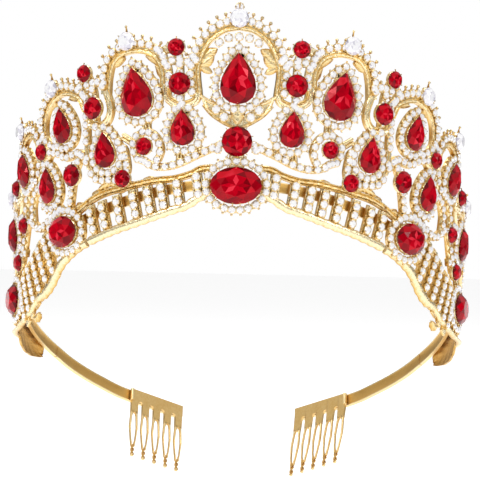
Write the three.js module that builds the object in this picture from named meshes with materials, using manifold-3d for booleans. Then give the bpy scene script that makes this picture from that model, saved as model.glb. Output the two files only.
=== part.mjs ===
// Crown (tiara) on a sprung headband with two side combs.
//
// Frame: millimetres, +Z up as worn. The origin is the centre of the headband loop. The wearer looks along
// -Y, so the front of the crown is at -Y, and the viewer facing it has +X on the right.
//
// The openwork wall is drawn flat as (u, z): u runs round the wall from its middle, z is the height above the
// pattern's base line, and w is the depth through the wall, outwards. The finished flat piece is then bent
// round a vertical cylinder, as the real casting is.
import * as THREE from 'three';
import { mergeVertices } from 'three/addons/utils/BufferGeometryUtils.js';
import Module from 'manifold-3d';

const wasm = await Module();
wasm.setup();

// ---- driving dimensions (mm, degrees) ----
const WALL_RADIUS = 70; // neutral radius of the bent wall
// turn round the wall, degrees, of places u on the drawing, which is drawn out at its far ends
const PATTERN_TURNS = [[0, 0], [20, 15.86], [30, 23.77], [40, 31.65], [50, 39.47], [60, 47.18], [70, 54.7],
  [80, 61.95], [87.5, 67], [92, 70.6], [98, 74.2], [107.5, 83.5], [113, 89.5], [120, 96.5], [135, 113]];
const BASE_Z = 33; // height of the pattern's base line above the headband's centre
const GAP = 0.3; // clearance between touching pieces

const WALL_BACK = -1.1; // depths through the wall
const WALL_FRONT = 1.3;
const STONE_BACK = WALL_FRONT + GAP;

const ARCH_WIDTH = 3.8; // arch rail with its outer row of small stones
const RAIL_WIDTH = 2.2;
const ROW_WIDTH = 2.6; // a row of small stones
const SCROLL_WIDTH = 1.6;
const RIB_WIDTH = 2.0;
const RIB_LENGTH = 9.4;
const HALO_MARGIN = 3.1; // from a stone's edge to the outside of its ring of small stones
const BEZEL_MARGIN = 0.8; // from a plain round stone's edge to the outside of its setting
const CURVE_STEP = 4.4; // spacing of points along a drawn curve
const LONGEST_CHORD = 9; // a longer facet would cut into the bend

const STRIP_WIDTH = 4;
const STRIP_THICKNESS = 1.2;
const STRIP_RADIUS = WALL_RADIUS + WALL_BACK - GAP - STRIP_THICKNESS / 2; // plan radius of the strip's middle
const BAND_TILT = Math.atan(0.545); // the loop's plane drops towards the back
const STRIP_DIP = 2.4; // how far the strip sags below its plane behind the gallery
const ARM_START = THREE.MathUtils.degToRad(118); // plan angle where an arm leaves the wall
// route of the right arm in plan, as angle from the front and radius; its last stretch is straight
const ARM_ROUTE = [[118, 68], [125, 68.4], [132, 68.9], [139, 69.6], [146, 70.8], [155.5, 72],
  [164.6, 75.1]];
const ARM_STEP = 5;

const COMB_MIDDLE = [156.5, 72.2]; // plan angle and radius
const COMB_WIDTH = 21.6;
const COMB_THICKNESS = 0.9;
const COMB_SPINE = 3.9; // height of the plain strip along the comb's top
const COMB_HEIGHT = 24.7;
const COMB_TEETH = 5;
const TOOTH_PITCH = 4.64;
const TOOTH_LEAN = { left: 0, right: 0.15 }; // sideways shift per mm of length; each comb is bent by hand
// half widths down a tooth and down the eye in it, as [distance below the comb's top, half width]
const TOOTH_OUTLINE = [[COMB_SPINE - 0.4, 1.55], [8, 1.5], [14, 1.75], [20.9, 0.8], [COMB_HEIGHT, 0.8]];
const EYE_OUTLINE = [[8.1, 0.2], [10, 0.8], [14, 1.1], [18.4, 0.75], [20.4, 0.2]];

// ---- materials ----
const gold = () => new THREE.MeshStandardMaterial({ color: 0xd9a83f, metalness: 1, roughness: 0.3 });
const satinGold = () => new THREE.MeshStandardMaterial({ color: 0xc9a760, metalness: 1, roughness: 0.42 });
const ruby = () => new THREE.MeshStandardMaterial({ color: 0xb00418, metalness: 0.1, roughness: 0.08 });
const crystal = () => new THREE.MeshStandardMaterial({ color: 0xe9e8f2, metalness: 0.2, roughness: 0.05 });

// ---- large stones ----
// cut, [width, height], [u, z] of the middle, tilt of the top outwards in degrees, table height
const CENTRE_STONES = [
  { name: 'ruby_oval_centre', cut: 'oval', size: [14.5, 10.4], at: [0, 3.5], tilt: 0 },
  { name: 'ruby_round_centre', cut: 'round', size: [8.4, 8.4], at: [0, 16.4], tilt: 0 },
  { name: 'ruby_pear_centre', cut: 'pear', size: [10, 14.4], at: [0, 34.9], tilt: 0 },
  { name: 'crystal_peak_centre', cut: 'round', size: [5, 5], at: [0, 52.5], tilt: 0 },
];
const PAIRED_STONES = [
  { name: 'ruby_round_valley_1', cut: 'round', size: [4.7, 4.7], at: [18.8, 43.8], tilt: 0 },
  { name: 'ruby_round_loop_1', cut: 'round', size: [6.2, 6.2], at: [17.5, 33.1], tilt: 0 },
  { name: 'ruby_pear_low_1', cut: 'pear', size: [7, 10], at: [16.4, 20.3], tilt: 4 },
  { name: 'ruby_round_swirl', cut: 'round', size: [4.7, 4.7], at: [28.5, 14.6], tilt: 0 },
  { name: 'ruby_pear_arch_1', cut: 'pear', size: [10, 14], at: [31.5, 30.6], tilt: 12 },
  { name: 'ruby_round_leaf', cut: 'round', size: [4.8, 4.8], at: [35.5, 5.0], tilt: 0 },
  { name: 'ruby_pear_low_2', cut: 'pear', size: [7, 10], at: [42.3, 13.5], tilt: 8 },
  { name: 'ruby_round_loop_2', cut: 'round', size: [6.2, 6.2], at: [47.1, 25.9], tilt: 0 },
  { name: 'ruby_round_valley_2', cut: 'round', size: [4.7, 4.7], at: [51.1, 36.3], tilt: 0 },
  { name: 'ruby_pear_arch_2', cut: 'pear', size: [7, 10], at: [61.0, 20.8], tilt: 14 },
  { name: 'ruby_round_column', cut: 'round', size: [6.2, 6.2], at: [55.6, 5.9], tilt: 0 },
  { name: 'ruby_round_loop_3', cut: 'round', size: [4.7, 4.7], at: [72.6, 13.0], tilt: 0 },
  { name: 'ruby_pear_low_3', cut: 'pear', size: [7, 10], at: [68.3, 2.7], tilt: 10 },
  { name: 'ruby_oval_side', cut: 'oval', size: [12, 9], at: [59.5, -11.1], tilt: 6 },
  { name: 'ruby_pear_arch_3', cut: 'pear', size: [7, 10], at: [87.5, 7.5], tilt: 22 },
  { name: 'ruby_round_loop_4', cut: 'round', size: [4.7, 4.7], at: [97.5, 2.0], tilt: 0 },
  { name: 'ruby_round_scroll', cut: 'round', size: [4.7, 4.7], at: [86.5, -9.5], tilt: 0 },
  { name: 'ruby_pear_low_4', cut: 'pear', size: [7, 10], at: [100.0, -12.5], tilt: 18 },
  { name: 'ruby_round_end', cut: 'round', size: [4.7, 4.7], at: [91.5, -21.0], tilt: 0 },
  { name: 'ruby_oval_end', cut: 'oval', size: [12, 9], at: [99.0, -32.5], tilt: 10 },
  { name: 'crystal_peak_1', cut: 'round', size: [5, 5], at: [35.2, 45.6], tilt: 0 },
  { name: 'crystal_peak_2', cut: 'round', size: [5, 5], at: [67.2, 32.1], tilt: 0 },
  { name: 'crystal_peak_3', cut: 'round', size: [5, 5], at: [91.8, 19.5], tilt: 0 },
  { name: 'crystal_peak_4', cut: 'round', size: [5, 5], at: [107.5, -1.0], tilt: 0 },
];

// ---- metalwork of the right half, as centre lines on the flat pattern ----
// The centre line of an arch and its row of stones runs midway between the two.
const CENTRE_ARCH = [[12.6, 29.5], [13.3, 38], [10.6, 45.4], [5.4, 49.7], [0, 51]];
const SIDE_ARCHES = [
  [[22.2, 32], [22.6, 37.5], [25.6, 42.2], [31, 43.9], [37, 43.2], [41.2, 40.2], [42.8, 35.5], [43.2, 30]],
  [[50.8, 25.8], [53.4, 29.6], [58, 31.4], [63.5, 31.5], [68.8, 29.2], [72.6, 25], [73.6, 20], [72.4, 15]],
  [[76.4, 12], [77.6, 16], [81.4, 18.7], [87, 19], [91.6, 16.6], [94.6, 12], [95.4, 6], [94.6, 0]],
  [[98.5, -2.6], [103, -2], [108.5, -3.6], [112, -8], [113.6, -14], [114.8, -22], [118.5, -31], [124, -39]],
];
const LOOPS = [
  [[12.2, 30.5], [12.8, 28], [17, 26.6], [21.4, 28.4], [22.4, 33]],
  [[42.8, 31], [41, 25.6], [42.6, 21.6], [46.4, 20.2], [50, 22], [51, 26.6]],
  [[72.8, 17.6], [69, 12.6], [72.4, 9.2], [76, 10.2], [76.8, 13.6]],
  [[94.6, 1.4], [93.6, -1], [97.4, -1.6], [100.6, -2.4]],
];
const GEM_STEMS = [
  [[17.5, 26.4], [17.6, 33], [17.9, 39], [18.8, 43.8]],
  [[46.6, 20.4], [47.1, 26], [48.2, 31.6], [51.1, 36.3]],
  [[72.4, 9.4], [72.6, 13], [73.4, 16.6], [75.2, 22.4]],
  [[12.9, 40.2], [15.6, 39.6], [19, 40.2], [22.6, 39.4]],
  [[43.6, 33.4], [46.5, 33.8], [50.6, 33]],
  [[50.8, 29], [53.6, 32], [51.1, 36.3]],
  [[20.8, 44.4], [24.2, 42.6]],
  [[97.4, 2], [96.2, 6.4]],
  [[52.6, 12.2], [55.6, 5.9], [57.4, -4.6]],
];
const BRANCHES = [
  [[5, 15.4], [9, 13.6], [12.6, 12], [17.4, 9.8], [21.9, 8.7], [26, 8.9], [29.4, 10.6]],
  [[36, 4.4], [41, 4.6], [45.4, 4.6], [48.6, 7.4], [50, 12], [50.4, 18], [50.8, 26]],
  [[50.2, 10], [53.4, 12.6], [59.5, 11.2], [63.7, 12.4], [68.6, 12.8]],
  [[66, 14.4], [70.4, 15.8], [73, 18]],
  [[24.4, 10.6], [23.4, 14], [25.2, 17.6], [28.6, 19], [31.6, 17.4], [32.6, 14.2], [31, 11], [28.4, 10.2]],
  [[27.9, 18.6], [28.4, 23.4]],
  [[11.2, 12.2], [12.4, 15.4]],
  [[33, 15.6], [36.8, 17.6]],
  [[17.6, 9.6], [17.2, 14]],
  [[35.8, 14], [34.6, 8.4], [35.6, 5]],
  [[45.4, 4.6], [44.4, 8]],
  [[62, -4.4], [65.8, -6.2], [70, -8.8], [75, -10.3], [79.6, -9], [82.8, -7.8], [86.5, -9.5]],
  [[74.4, 2.8], [78.4, 0.6], [80.6, -3.6], [79.6, -9]],
  [[76.4, 12], [75.8, 7.4], [78.4, 3.8], [83, 2.2]],
  [[86.5, -9.5], [87.4, -3.6], [85.4, 0.6]],
  [[86.5, -9.5], [91.4, -6.4], [95.4, -8.6]],
  [[94.4, 1.4], [95.2, -4], [97.4, -7.6]],
  [[87, -18], [92, -16], [97, -18]],
  [[91.5, -21], [88.4, -14.6], [86.5, -9.5]],
  [[100, -17], [99.6, -22], [99.2, -27]],
  [[106, -16], [110.6, -19], [115, -22.4]],
  [[104, -33.6], [111, -33], [119.4, -32.4]],
];
const UPPER_RAIL = [[7, 8.6], [10.7, 8.2], [14, 6.6], [19, 5.2], [25, 4.6], [31, 3.4], [37, 2], [43, 0.6],
  [48, -1.4], [53, -4.4], [57, -6.4]];
const SIDE_UPPER_RAIL = [[65, -9.4], [70, -12.4], [76, -16.6], [82, -20.4], [88, -23.6], [93, -27.6]];
const LOWER_RAIL = [[6.4, 0.6], [10, 0], [15, -3], [20, -4.6], [30, -7.9], [40, -11], [51.5, -15.2], [57, -18],
  [62, -21.4], [67, -27], [71, -30], [76, -32], [81, -35.4], [90, -39], [99, -41.6], [110, -43.6], [120, -45.4]];
const RIBS = [[11.7, 3.4], [17.7, 1.2], [22.6, 0], [27, -1.4], [31.8, -2.8], [37.4, -4.4], [42.9, -6.1],
  [47.5, -7.6]];
const RIB_LEAN = [8, 18]; // degrees outwards, first and last
const SIDE_RIBS = [[68.4, -18.4], [72.6, -21.2], [76.6, -24.2], [80.8, -27.4], [85, -30.4], [89.2, -33]];
const SIDE_RIB_LEAN = 34;
const SIDE_RIB_LENGTH = 16;
// the leaf-shaped plate that hides the strip where it leaves the wall
const END_LEAF = [[113, -34.6], [119.5, -34.8], [126, -38.8], [131.5, -44.4], [135, -51], [129, -51.4],
  [121.6, -50], [115, -46.6], [111.4, -41]];
// joint between the centre casting and each side casting, drawn clear of the stones
const CASTING_JOINT = [[46.4, 60], [47, 40.4], [51.3, 28.6], [51.2, 20], [49.3, 9], [49.3, -30]];

// ---- flat-pattern solids ----

/** A closed manifold-3d solid from a three.js geometry. */
function solid(geometry) {
  const bare = geometry.index ? geometry.toNonIndexed() : geometry.clone();
  bare.deleteAttribute('normal');
  bare.deleteAttribute('uv');
  const merged = mergeVertices(bare, 1e-5);
  return new wasm.Manifold(new wasm.Mesh({
    numProp: 3,
    vertProperties: new Float32Array(merged.attributes.position.array),
    triVerts: new Uint32Array(merged.index.array),
  }));
}

/** A three.js geometry from a manifold-3d solid. */
function geometryOf(manifold) {
  const mesh = manifold.getMesh();
  const geometry = new THREE.BufferGeometry();
  geometry.setAttribute('position', new THREE.BufferAttribute(new Float32Array(mesh.vertProperties), 3));
  geometry.setIndex(new THREE.BufferAttribute(new Uint32Array(mesh.triVerts), 1));
  return geometry;
}

/** A flat outline given thickness between two depths. */
function plate(outline, back, front) {
  const shape = new THREE.Shape(outline.map(([u, z]) => new THREE.Vector2(u, z)));
  const geometry = new THREE.ExtrudeGeometry(shape, { depth: front - back, bevelEnabled: false, steps: 1 });
  geometry.translate(0, 0, back);
  return solid(geometry);
}

/** A bar of constant width along a smooth centre line. */
function bar(centreLine, width, back = WALL_BACK, front = WALL_FRONT, step = CURVE_STEP) {
  const path = new THREE.CatmullRomCurve3(centreLine.map(([u, z]) => new THREE.Vector3(u, z, 0)));
  const steps = centreLine.length === 2 ? 1 : Math.max(2, Math.round(path.getLength() / step));
  // along a flat path the section's x axis points down through the wall, and its y axis across the bar
  const section = new THREE.Shape([[-front, -width / 2], [-back, -width / 2], [-back, width / 2],
    [-front, width / 2]].map(([x, y]) => new THREE.Vector2(x, y)));
  return solid(new THREE.ExtrudeGeometry(section, { steps, extrudePath: path, bevelEnabled: false }));
}

/** The same centre lines on the other half of the pattern. */
const mirrored = (line) => line.map(([u, z]) => [-u, z]);

/** Half width and half height of a cut at angle t from its top, for a stone of unit half sizes. */
function cutPoint(cut, t) {
  const PEAR_WIDEST = 0.7698; // greatest value of sin t * sin(t / 2)
  const across = cut === 'pear' ? Math.sin(t) * Math.sin(Math.abs(t) / 2) / PEAR_WIDEST : Math.sin(t);
  return [across, Math.cos(t)];
}

/** Outline of a stone's setting on the flat pattern, its margin measured square to the stone's edge. */
function settingOutline({ cut, size: [width, height], at: [u, z], tilt }, margin, sides) {
  const lean = THREE.MathUtils.degToRad(tilt);
  const edge = (t) => {
    const [across, up] = cutPoint(cut, t);
    return new THREE.Vector2(across * width / 2, up * height / 2);
  };
  return Array.from({ length: sides }, (_, i) => {
    const t = -Math.PI + (i + 0.5) * 2 * Math.PI / sides;
    const point = edge(t);
    const along = edge(t + 0.01).sub(edge(t - 0.01)).normalize();
    const x = point.x - along.y * margin;
    const y = point.y + along.x * margin;
    return [u + x * Math.cos(lean) + y * Math.sin(lean), z - x * Math.sin(lean) + y * Math.cos(lean)];
  }).reverse();
}

/** The plate that holds one stone. */
function setting(stone) {
  const round = stone.cut === 'round';
  return plate(settingOutline(stone, round ? BEZEL_MARGIN : HALO_MARGIN, round ? 8 : 12),
    WALL_BACK, WALL_FRONT);
}

/** A straight rib through a point of the gallery, leaning outwards. */
function rib([u, z], leanDegrees, length) {
  const lean = THREE.MathUtils.degToRad(leanDegrees);
  const [du, dz] = [Math.sin(lean) * length / 2, Math.cos(lean) * length / 2];
  return bar([[u - du, z - dz], [u + du, z + dz]], RIB_WIDTH);
}

/** Every bar, rib and setting of one half of the wall; flip turns the right half into the left. */
function halfPattern(flip) {
  const place = (line) => (flip ? mirrored(line) : line);
  const ribs = RIBS.map((at, i) => {
    const lean = THREE.MathUtils.lerp(RIB_LEAN[0], RIB_LEAN[1], i / (RIBS.length - 1));
    return rib(place([at])[0], flip ? -lean : lean, RIB_LENGTH);
  });
  const sideRibs = SIDE_RIBS.map((at) => rib(place([at])[0], flip ? -SIDE_RIB_LEAN : SIDE_RIB_LEAN,
    SIDE_RIB_LENGTH));
  const stones = PAIRED_STONES.map((stone) => ({
    ...stone, at: place([stone.at])[0], tilt: flip ? -stone.tilt : stone.tilt,
  }));
  return [
    bar(place(CENTRE_ARCH), ARCH_WIDTH),
    ...SIDE_ARCHES.map((line) => bar(place(line), ARCH_WIDTH)),
    ...LOOPS.map((line) => bar(place(line), SCROLL_WIDTH)),
    ...GEM_STEMS.map((line) => bar(place(line), ROW_WIDTH)),
    ...BRANCHES.map((line) => bar(place(line), ROW_WIDTH)),
    bar(place(UPPER_RAIL), RAIL_WIDTH),
    bar(place(SIDE_UPPER_RAIL), RAIL_WIDTH),
    bar(place(LOWER_RAIL), ROW_WIDTH),
    ...ribs,
    ...sideRibs,
    ...stones.map(setting),
    plate(flip ? mirrored(END_LEAF) : [...END_LEAF].reverse(), WALL_BACK, WALL_FRONT),
  ];
}

/** Middle of the pattern: stem and scrolls under the centre pear, down to the centre oval. */
function centrePattern() {
  return [
    bar([[0, 8], [0, 26]], 6),
    bar([[-9.4, 28], [-6, 24.6], [0, 22], [6, 24.6], [9.4, 28]], ARCH_WIDTH),
    bar([[-12.6, 29.6], [-9.4, 28]], ROW_WIDTH),
    bar([[12.6, 29.6], [9.4, 28]], ROW_WIDTH),
    bar([[0, 50], [0, 56]], ROW_WIDTH),
    ...CENTRE_STONES.map(setting),
  ];
}

/** Joins solids into one. */
const joined = (parts) => parts.reduce((whole, part) => whole.add(part));

/** Splits every edge that runs too far round the wall, in both of its triangles, until none is left. */
function withShortChords(geometry) {
  const points = [...geometry.attributes.position.array];
  let triangles = [...geometry.index.array];
  const run = (a, b) => Math.abs(points[3 * a] - points[3 * b]);
  for (let longest = Infinity; longest > LONGEST_CHORD;) {
    const middles = new Map();
    const middle = (a, b) => {
      if (run(a, b) <= LONGEST_CHORD) return null;
      const key = a < b ? `${a}/${b}` : `${b}/${a}`;
      if (!middles.has(key)) {
        middles.set(key, points.length / 3);
        for (let k = 0; k < 3; k += 1) points.push((points[3 * a + k] + points[3 * b + k]) / 2);
      }
      return middles.get(key);
    };
    const next = [];
    longest = 0;
    for (let i = 0; i < triangles.length; i += 3) {
      const corners = triangles.slice(i, i + 3);
      const runs = corners.map((corner, k) => run(corner, corners[(k + 1) % 3]));
      longest = Math.max(longest, ...runs);
      // turned so that the longest edge comes first and an unsplit edge last
      const first = runs.indexOf(Math.max(...runs));
      const [a, b, c] = [0, 1, 2].map((k) => corners[(first + k) % 3]);
      const [ab, bc, ca] = [middle(a, b), middle(b, c), middle(c, a)];
      if (ab === null) next.push(a, b, c);
      else if (bc === null && ca === null) next.push(a, ab, c, ab, b, c);
      else if (ca === null) next.push(a, ab, c, ab, b, bc, ab, bc, c);
      else if (bc === null) next.push(a, ab, ca, ab, b, c, ab, c, ca);
      else next.push(a, ab, ca, ab, b, bc, bc, c, ca, ab, bc, ca);
    }
    triangles = next;
  }
  const split = new THREE.BufferGeometry();
  split.setAttribute('position', new THREE.Float32BufferAttribute(points, 3));
  split.setIndex(triangles);
  return split;
}

/** Turn round the wall, in radians, of a place u on the drawing. */
function patternTurn(u) {
  const after = PATTERN_TURNS.findIndex(([at]) => at >= Math.abs(u));
  const last = after < 1 ? Math.max(1, PATTERN_TURNS.length * (after < 0) - 1) : after;
  const [[startU, start], [endU, end]] = [PATTERN_TURNS[last - 1], PATTERN_TURNS[last]];
  const degrees = start + (Math.abs(u) - startU) * (end - start) / (endU - startU);
  return THREE.MathUtils.degToRad(Math.sign(u) * degrees);
}

/** Bends a flat piece round the wall's cylinder and lifts it to its height. */
function bent(flat, turn) {
  const geometry = withShortChords(flat);
  const position = geometry.attributes.position;
  for (let i = 0; i < position.count; i += 1) {
    const angle = turn(position.getX(i));
    const radius = WALL_RADIUS + position.getZ(i);
    position.setXYZ(i, radius * Math.sin(angle), -radius * Math.cos(angle), position.getY(i) + BASE_Z);
  }
  return geometry;
}

/** The wall cut into its castings: left, centre and right. */
function castings() {
  const whole = joined([...centrePattern(), ...halfPattern(false), ...halfPattern(true)]);
  const cuts = [CASTING_JOINT, mirrored(CASTING_JOINT)].map((line) => joined(
    line.slice(1).map((point, i) => bar([line[i], point], GAP, WALL_BACK - 1, WALL_FRONT + 1)),
  ));
  const pieces = whole.subtract(joined(cuts)).decompose();
  const middle = (piece) => {
    const { min, max } = piece.boundingBox();
    return (min[0] + max[0]) / 2;
  };
  return pieces.sort((a, b) => middle(a) - middle(b));
}

// ---- stones ----

/** A flat-backed faceted stone: back, girdle and table rings, standing on z = 0. */
function stoneGeometry({ cut, size: [width, height] }) {
  const small = Math.max(width, height) < 6;
  const depth = 0.9 + 0.16 * Math.min(width, height);
  const profile = [[0, 0], [0.95, 0], [1, 0.25 * depth], [0.56, depth], [0, depth]];
  const geometry = new THREE.LatheGeometry(profile.map(([r, y]) => new THREE.Vector2(r, y)), small ? 8 : 12);
  geometry.rotateX(Math.PI / 2);
  const position = geometry.attributes.position;
  for (let i = 0; i < position.count; i += 1) {
    const [x, y] = [position.getX(i), position.getY(i)];
    const radius = Math.hypot(x, y);
    const [across, up] = cutPoint(cut, Math.atan2(x, y));
    position.setX(i, radius * across * width / 2);
    position.setY(i, radius * up * height / 2);
  }
  return geometryOf(solid(geometry));
}

/** A stone set on the wall, facing outwards. */
function stoneMesh(stone, name, side) {
  const mesh = new THREE.Mesh(stoneGeometry(stone), stone.name.startsWith('ruby') ? ruby() : crystal());
  const angle = side * patternTurn(stone.at[0]);
  const radius = WALL_RADIUS + STONE_BACK;
  const outward = new THREE.Vector3(Math.sin(angle), -Math.cos(angle), 0);
  const sideways = new THREE.Vector3(Math.cos(angle), Math.sin(angle), 0);
  const facing = new THREE.Matrix4().makeBasis(sideways, new THREE.Vector3(0, 0, 1), outward);
  const lean = new THREE.Matrix4().makeRotationZ(-side * THREE.MathUtils.degToRad(stone.tilt));
  mesh.quaternion.setFromRotationMatrix(facing.multiply(lean));
  mesh.position.set(outward.x * radius, outward.y * radius, stone.at[1] + BASE_Z);
  mesh.name = name;
  return mesh;
}

// ---- headband ----

/** Height of the strip's centre line on the flat pattern, inside the foot of the wall. */
function stripHeight(u) {
  const angle = u / STRIP_RADIUS;
  const dip = STRIP_DIP * Math.sin(Math.PI * angle / ARM_START) ** 2;
  return STRIP_RADIUS * Math.tan(BAND_TILT) * Math.cos(angle) - dip - BASE_Z;
}

/** The stretch of strip soldered inside the wall. */
function headbandFront() {
  const end = ARM_START * STRIP_RADIUS - GAP;
  const line = Array.from({ length: 17 }, (_, i) => {
    const u = -end + i * 2 * end / 16;
    return [u, stripHeight(u)];
  });
  const back = STRIP_RADIUS - STRIP_THICKNESS / 2 - WALL_RADIUS;
  const flat = geometryOf(bar(line, STRIP_WIDTH, back, back + STRIP_THICKNESS, LONGEST_CHORD));
  return bent(flat, (u) => u / STRIP_RADIUS);
}

/** A plan point of the loop, given by its angle from the front and its radius, in the loop's own plane. */
function inLoopPlane([degrees, radius]) {
  const angle = THREE.MathUtils.degToRad(degrees);
  return [radius * Math.sin(angle), -radius * Math.cos(angle) / Math.cos(BAND_TILT)];
}

/** One free arm of the strip, drawn in the loop's plane. */
function headbandArm(side) {
  const right = bar(ARM_ROUTE.map(inLoopPlane), STRIP_THICKNESS, -STRIP_WIDTH / 2, STRIP_WIDTH / 2, ARM_STEP);
  const mesh = new THREE.Mesh(geometryOf(side > 0 ? right : right.mirror([1, 0, 0])), satinGold());
  mesh.name = side > 0 ? 'headband_arm_right' : 'headband_arm_left';
  return mesh;
}

// ---- combs ----

/** A closed outline from half widths down a tooth's middle line. */
function toothPlate(middle, halfWidths, lean, back, front) {
  const at = (down, across) => [middle + lean * Math.max(0, down - COMB_SPINE) + across, -down];
  const right = halfWidths.map(([down, half]) => at(down, half));
  const left = halfWidths.map(([down, half]) => at(down, -half));
  return plate([...left, ...right.reverse()], back, front);
}

/** A pressed comb in its own plane: spine along x, teeth down -y, each tooth a long eye. */
function combGeometry(lean) {
  const half = COMB_WIDTH / 2;
  const spine = plate([[-half, -COMB_SPINE], [half, -COMB_SPINE], [half, 0], [-half, 0]], 0, COMB_THICKNESS);
  const teeth = Array.from({ length: COMB_TEETH }, (_, i) => {
    const middle = (i - (COMB_TEETH - 1) / 2) * TOOTH_PITCH;
    const eye = toothPlate(middle, EYE_OUTLINE, lean, -1, COMB_THICKNESS + 1);
    return toothPlate(middle, TOOTH_OUTLINE, lean, 0, COMB_THICKNESS).subtract(eye);
  });
  return geometryOf(joined([spine, ...teeth]));
}

/** A comb inside the end of its arm, hanging square to the loop's plane. */
function comb(side) {
  const mesh = new THREE.Mesh(combGeometry(side > 0 ? TOOTH_LEAN.right : TOOTH_LEAN.left), gold());
  const flipped = ([x, y]) => new THREE.Vector3(side * x, y, 0);
  const [outer, inner] = ARM_ROUTE.slice(-2).map((point) => flipped(inLoopPlane(point)));
  const up = new THREE.Vector3(0, 0, 1);
  const along = inner.sub(outer).multiplyScalar(side).normalize();
  const outward = new THREE.Vector3().crossVectors(along, up);
  const back = flipped(inLoopPlane(COMB_MIDDLE))
    .addScaledVector(outward, -STRIP_THICKNESS / 2 - GAP - COMB_THICKNESS);
  const placed = new THREE.Matrix4().makeBasis(along, up, outward);
  placed.setPosition(back.x, back.y, STRIP_WIDTH / 2);
  mesh.applyMatrix4(placed);
  mesh.name = side > 0 ? 'comb_right' : 'comb_left';
  return mesh;
}

// ---- assembly ----
const crown = new THREE.Group();
const [leftCasting, centreCasting, rightCasting] = castings();
const frames = { left_side_frame: leftCasting, centre_frame: centreCasting, right_side_frame: rightCasting };
Object.entries(frames).forEach(([name, casting]) => {
  const mesh = new THREE.Mesh(bent(geometryOf(casting), patternTurn), gold());
  mesh.name = name;
  crown.add(mesh);
});
CENTRE_STONES.forEach((stone) => crown.add(stoneMesh(stone, stone.name, 1)));
PAIRED_STONES.forEach((stone) => {
  crown.add(stoneMesh(stone, `${stone.name}_right`, 1));
  crown.add(stoneMesh(stone, `${stone.name}_left`, -1));
});
const front = new THREE.Mesh(headbandFront(), satinGold());
front.name = 'headband_front';
const loop = new THREE.Group(); // the arms and combs, in the loop's tilted plane
loop.rotation.x = -BAND_TILT;
loop.add(headbandArm(1), headbandArm(-1), comb(1), comb(-1));
crown.add(front, loop);

export default crown;
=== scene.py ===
"""Visual model of a gold-plated crown: openwork castings, set stones, sprung headband and side combs.

Drawing work is done in millimetres on the flat pattern of the wall, as (u, z, w): u round the wall from its
middle, z the height above the pattern's base line, w the depth through the wall. Finished points are bent
round the wall's cylinder and turned into metres in the frame's axes.
"""
import logging
import math
from collections.abc import Callable
from dataclasses import dataclass, field
from enum import Enum
from pathlib import Path as FilePath

import bmesh
import bpy
import numpy as np
from mathutils import Matrix


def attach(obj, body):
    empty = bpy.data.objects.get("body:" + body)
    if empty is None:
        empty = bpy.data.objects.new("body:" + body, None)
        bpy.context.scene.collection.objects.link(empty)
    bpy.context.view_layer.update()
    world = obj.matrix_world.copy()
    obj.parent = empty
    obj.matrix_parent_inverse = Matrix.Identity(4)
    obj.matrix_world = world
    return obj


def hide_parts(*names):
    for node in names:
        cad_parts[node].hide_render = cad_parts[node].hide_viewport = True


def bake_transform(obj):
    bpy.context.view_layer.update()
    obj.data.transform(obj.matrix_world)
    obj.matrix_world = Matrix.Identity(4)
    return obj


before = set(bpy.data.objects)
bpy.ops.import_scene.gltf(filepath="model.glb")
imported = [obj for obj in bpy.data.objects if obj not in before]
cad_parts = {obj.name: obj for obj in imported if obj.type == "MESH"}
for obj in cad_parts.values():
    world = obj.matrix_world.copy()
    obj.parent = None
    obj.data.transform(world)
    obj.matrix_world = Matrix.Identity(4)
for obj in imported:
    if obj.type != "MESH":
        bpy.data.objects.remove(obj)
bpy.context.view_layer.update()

logging.basicConfig(level=logging.INFO, format="%(message)s")
LOG = logging.getLogger("crown")

Array = np.ndarray
Point = tuple[float, float]
Knots = list[Point]
MM = 0.001
KNOT_STEPS = 24  # samples of a curve between two knots, before it is divided evenly
SHARP_ABOVE = math.radians(48)  # angle between faces above which an edge of metal stays sharp
# the depth attribute sets where the metal finish paints shade and highlight
RELIEF_WEIGHT = 2.2  # how strongly a bar's relief counts in its depth attribute


# ---- Geometry helpers ----------------------------------------


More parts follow.
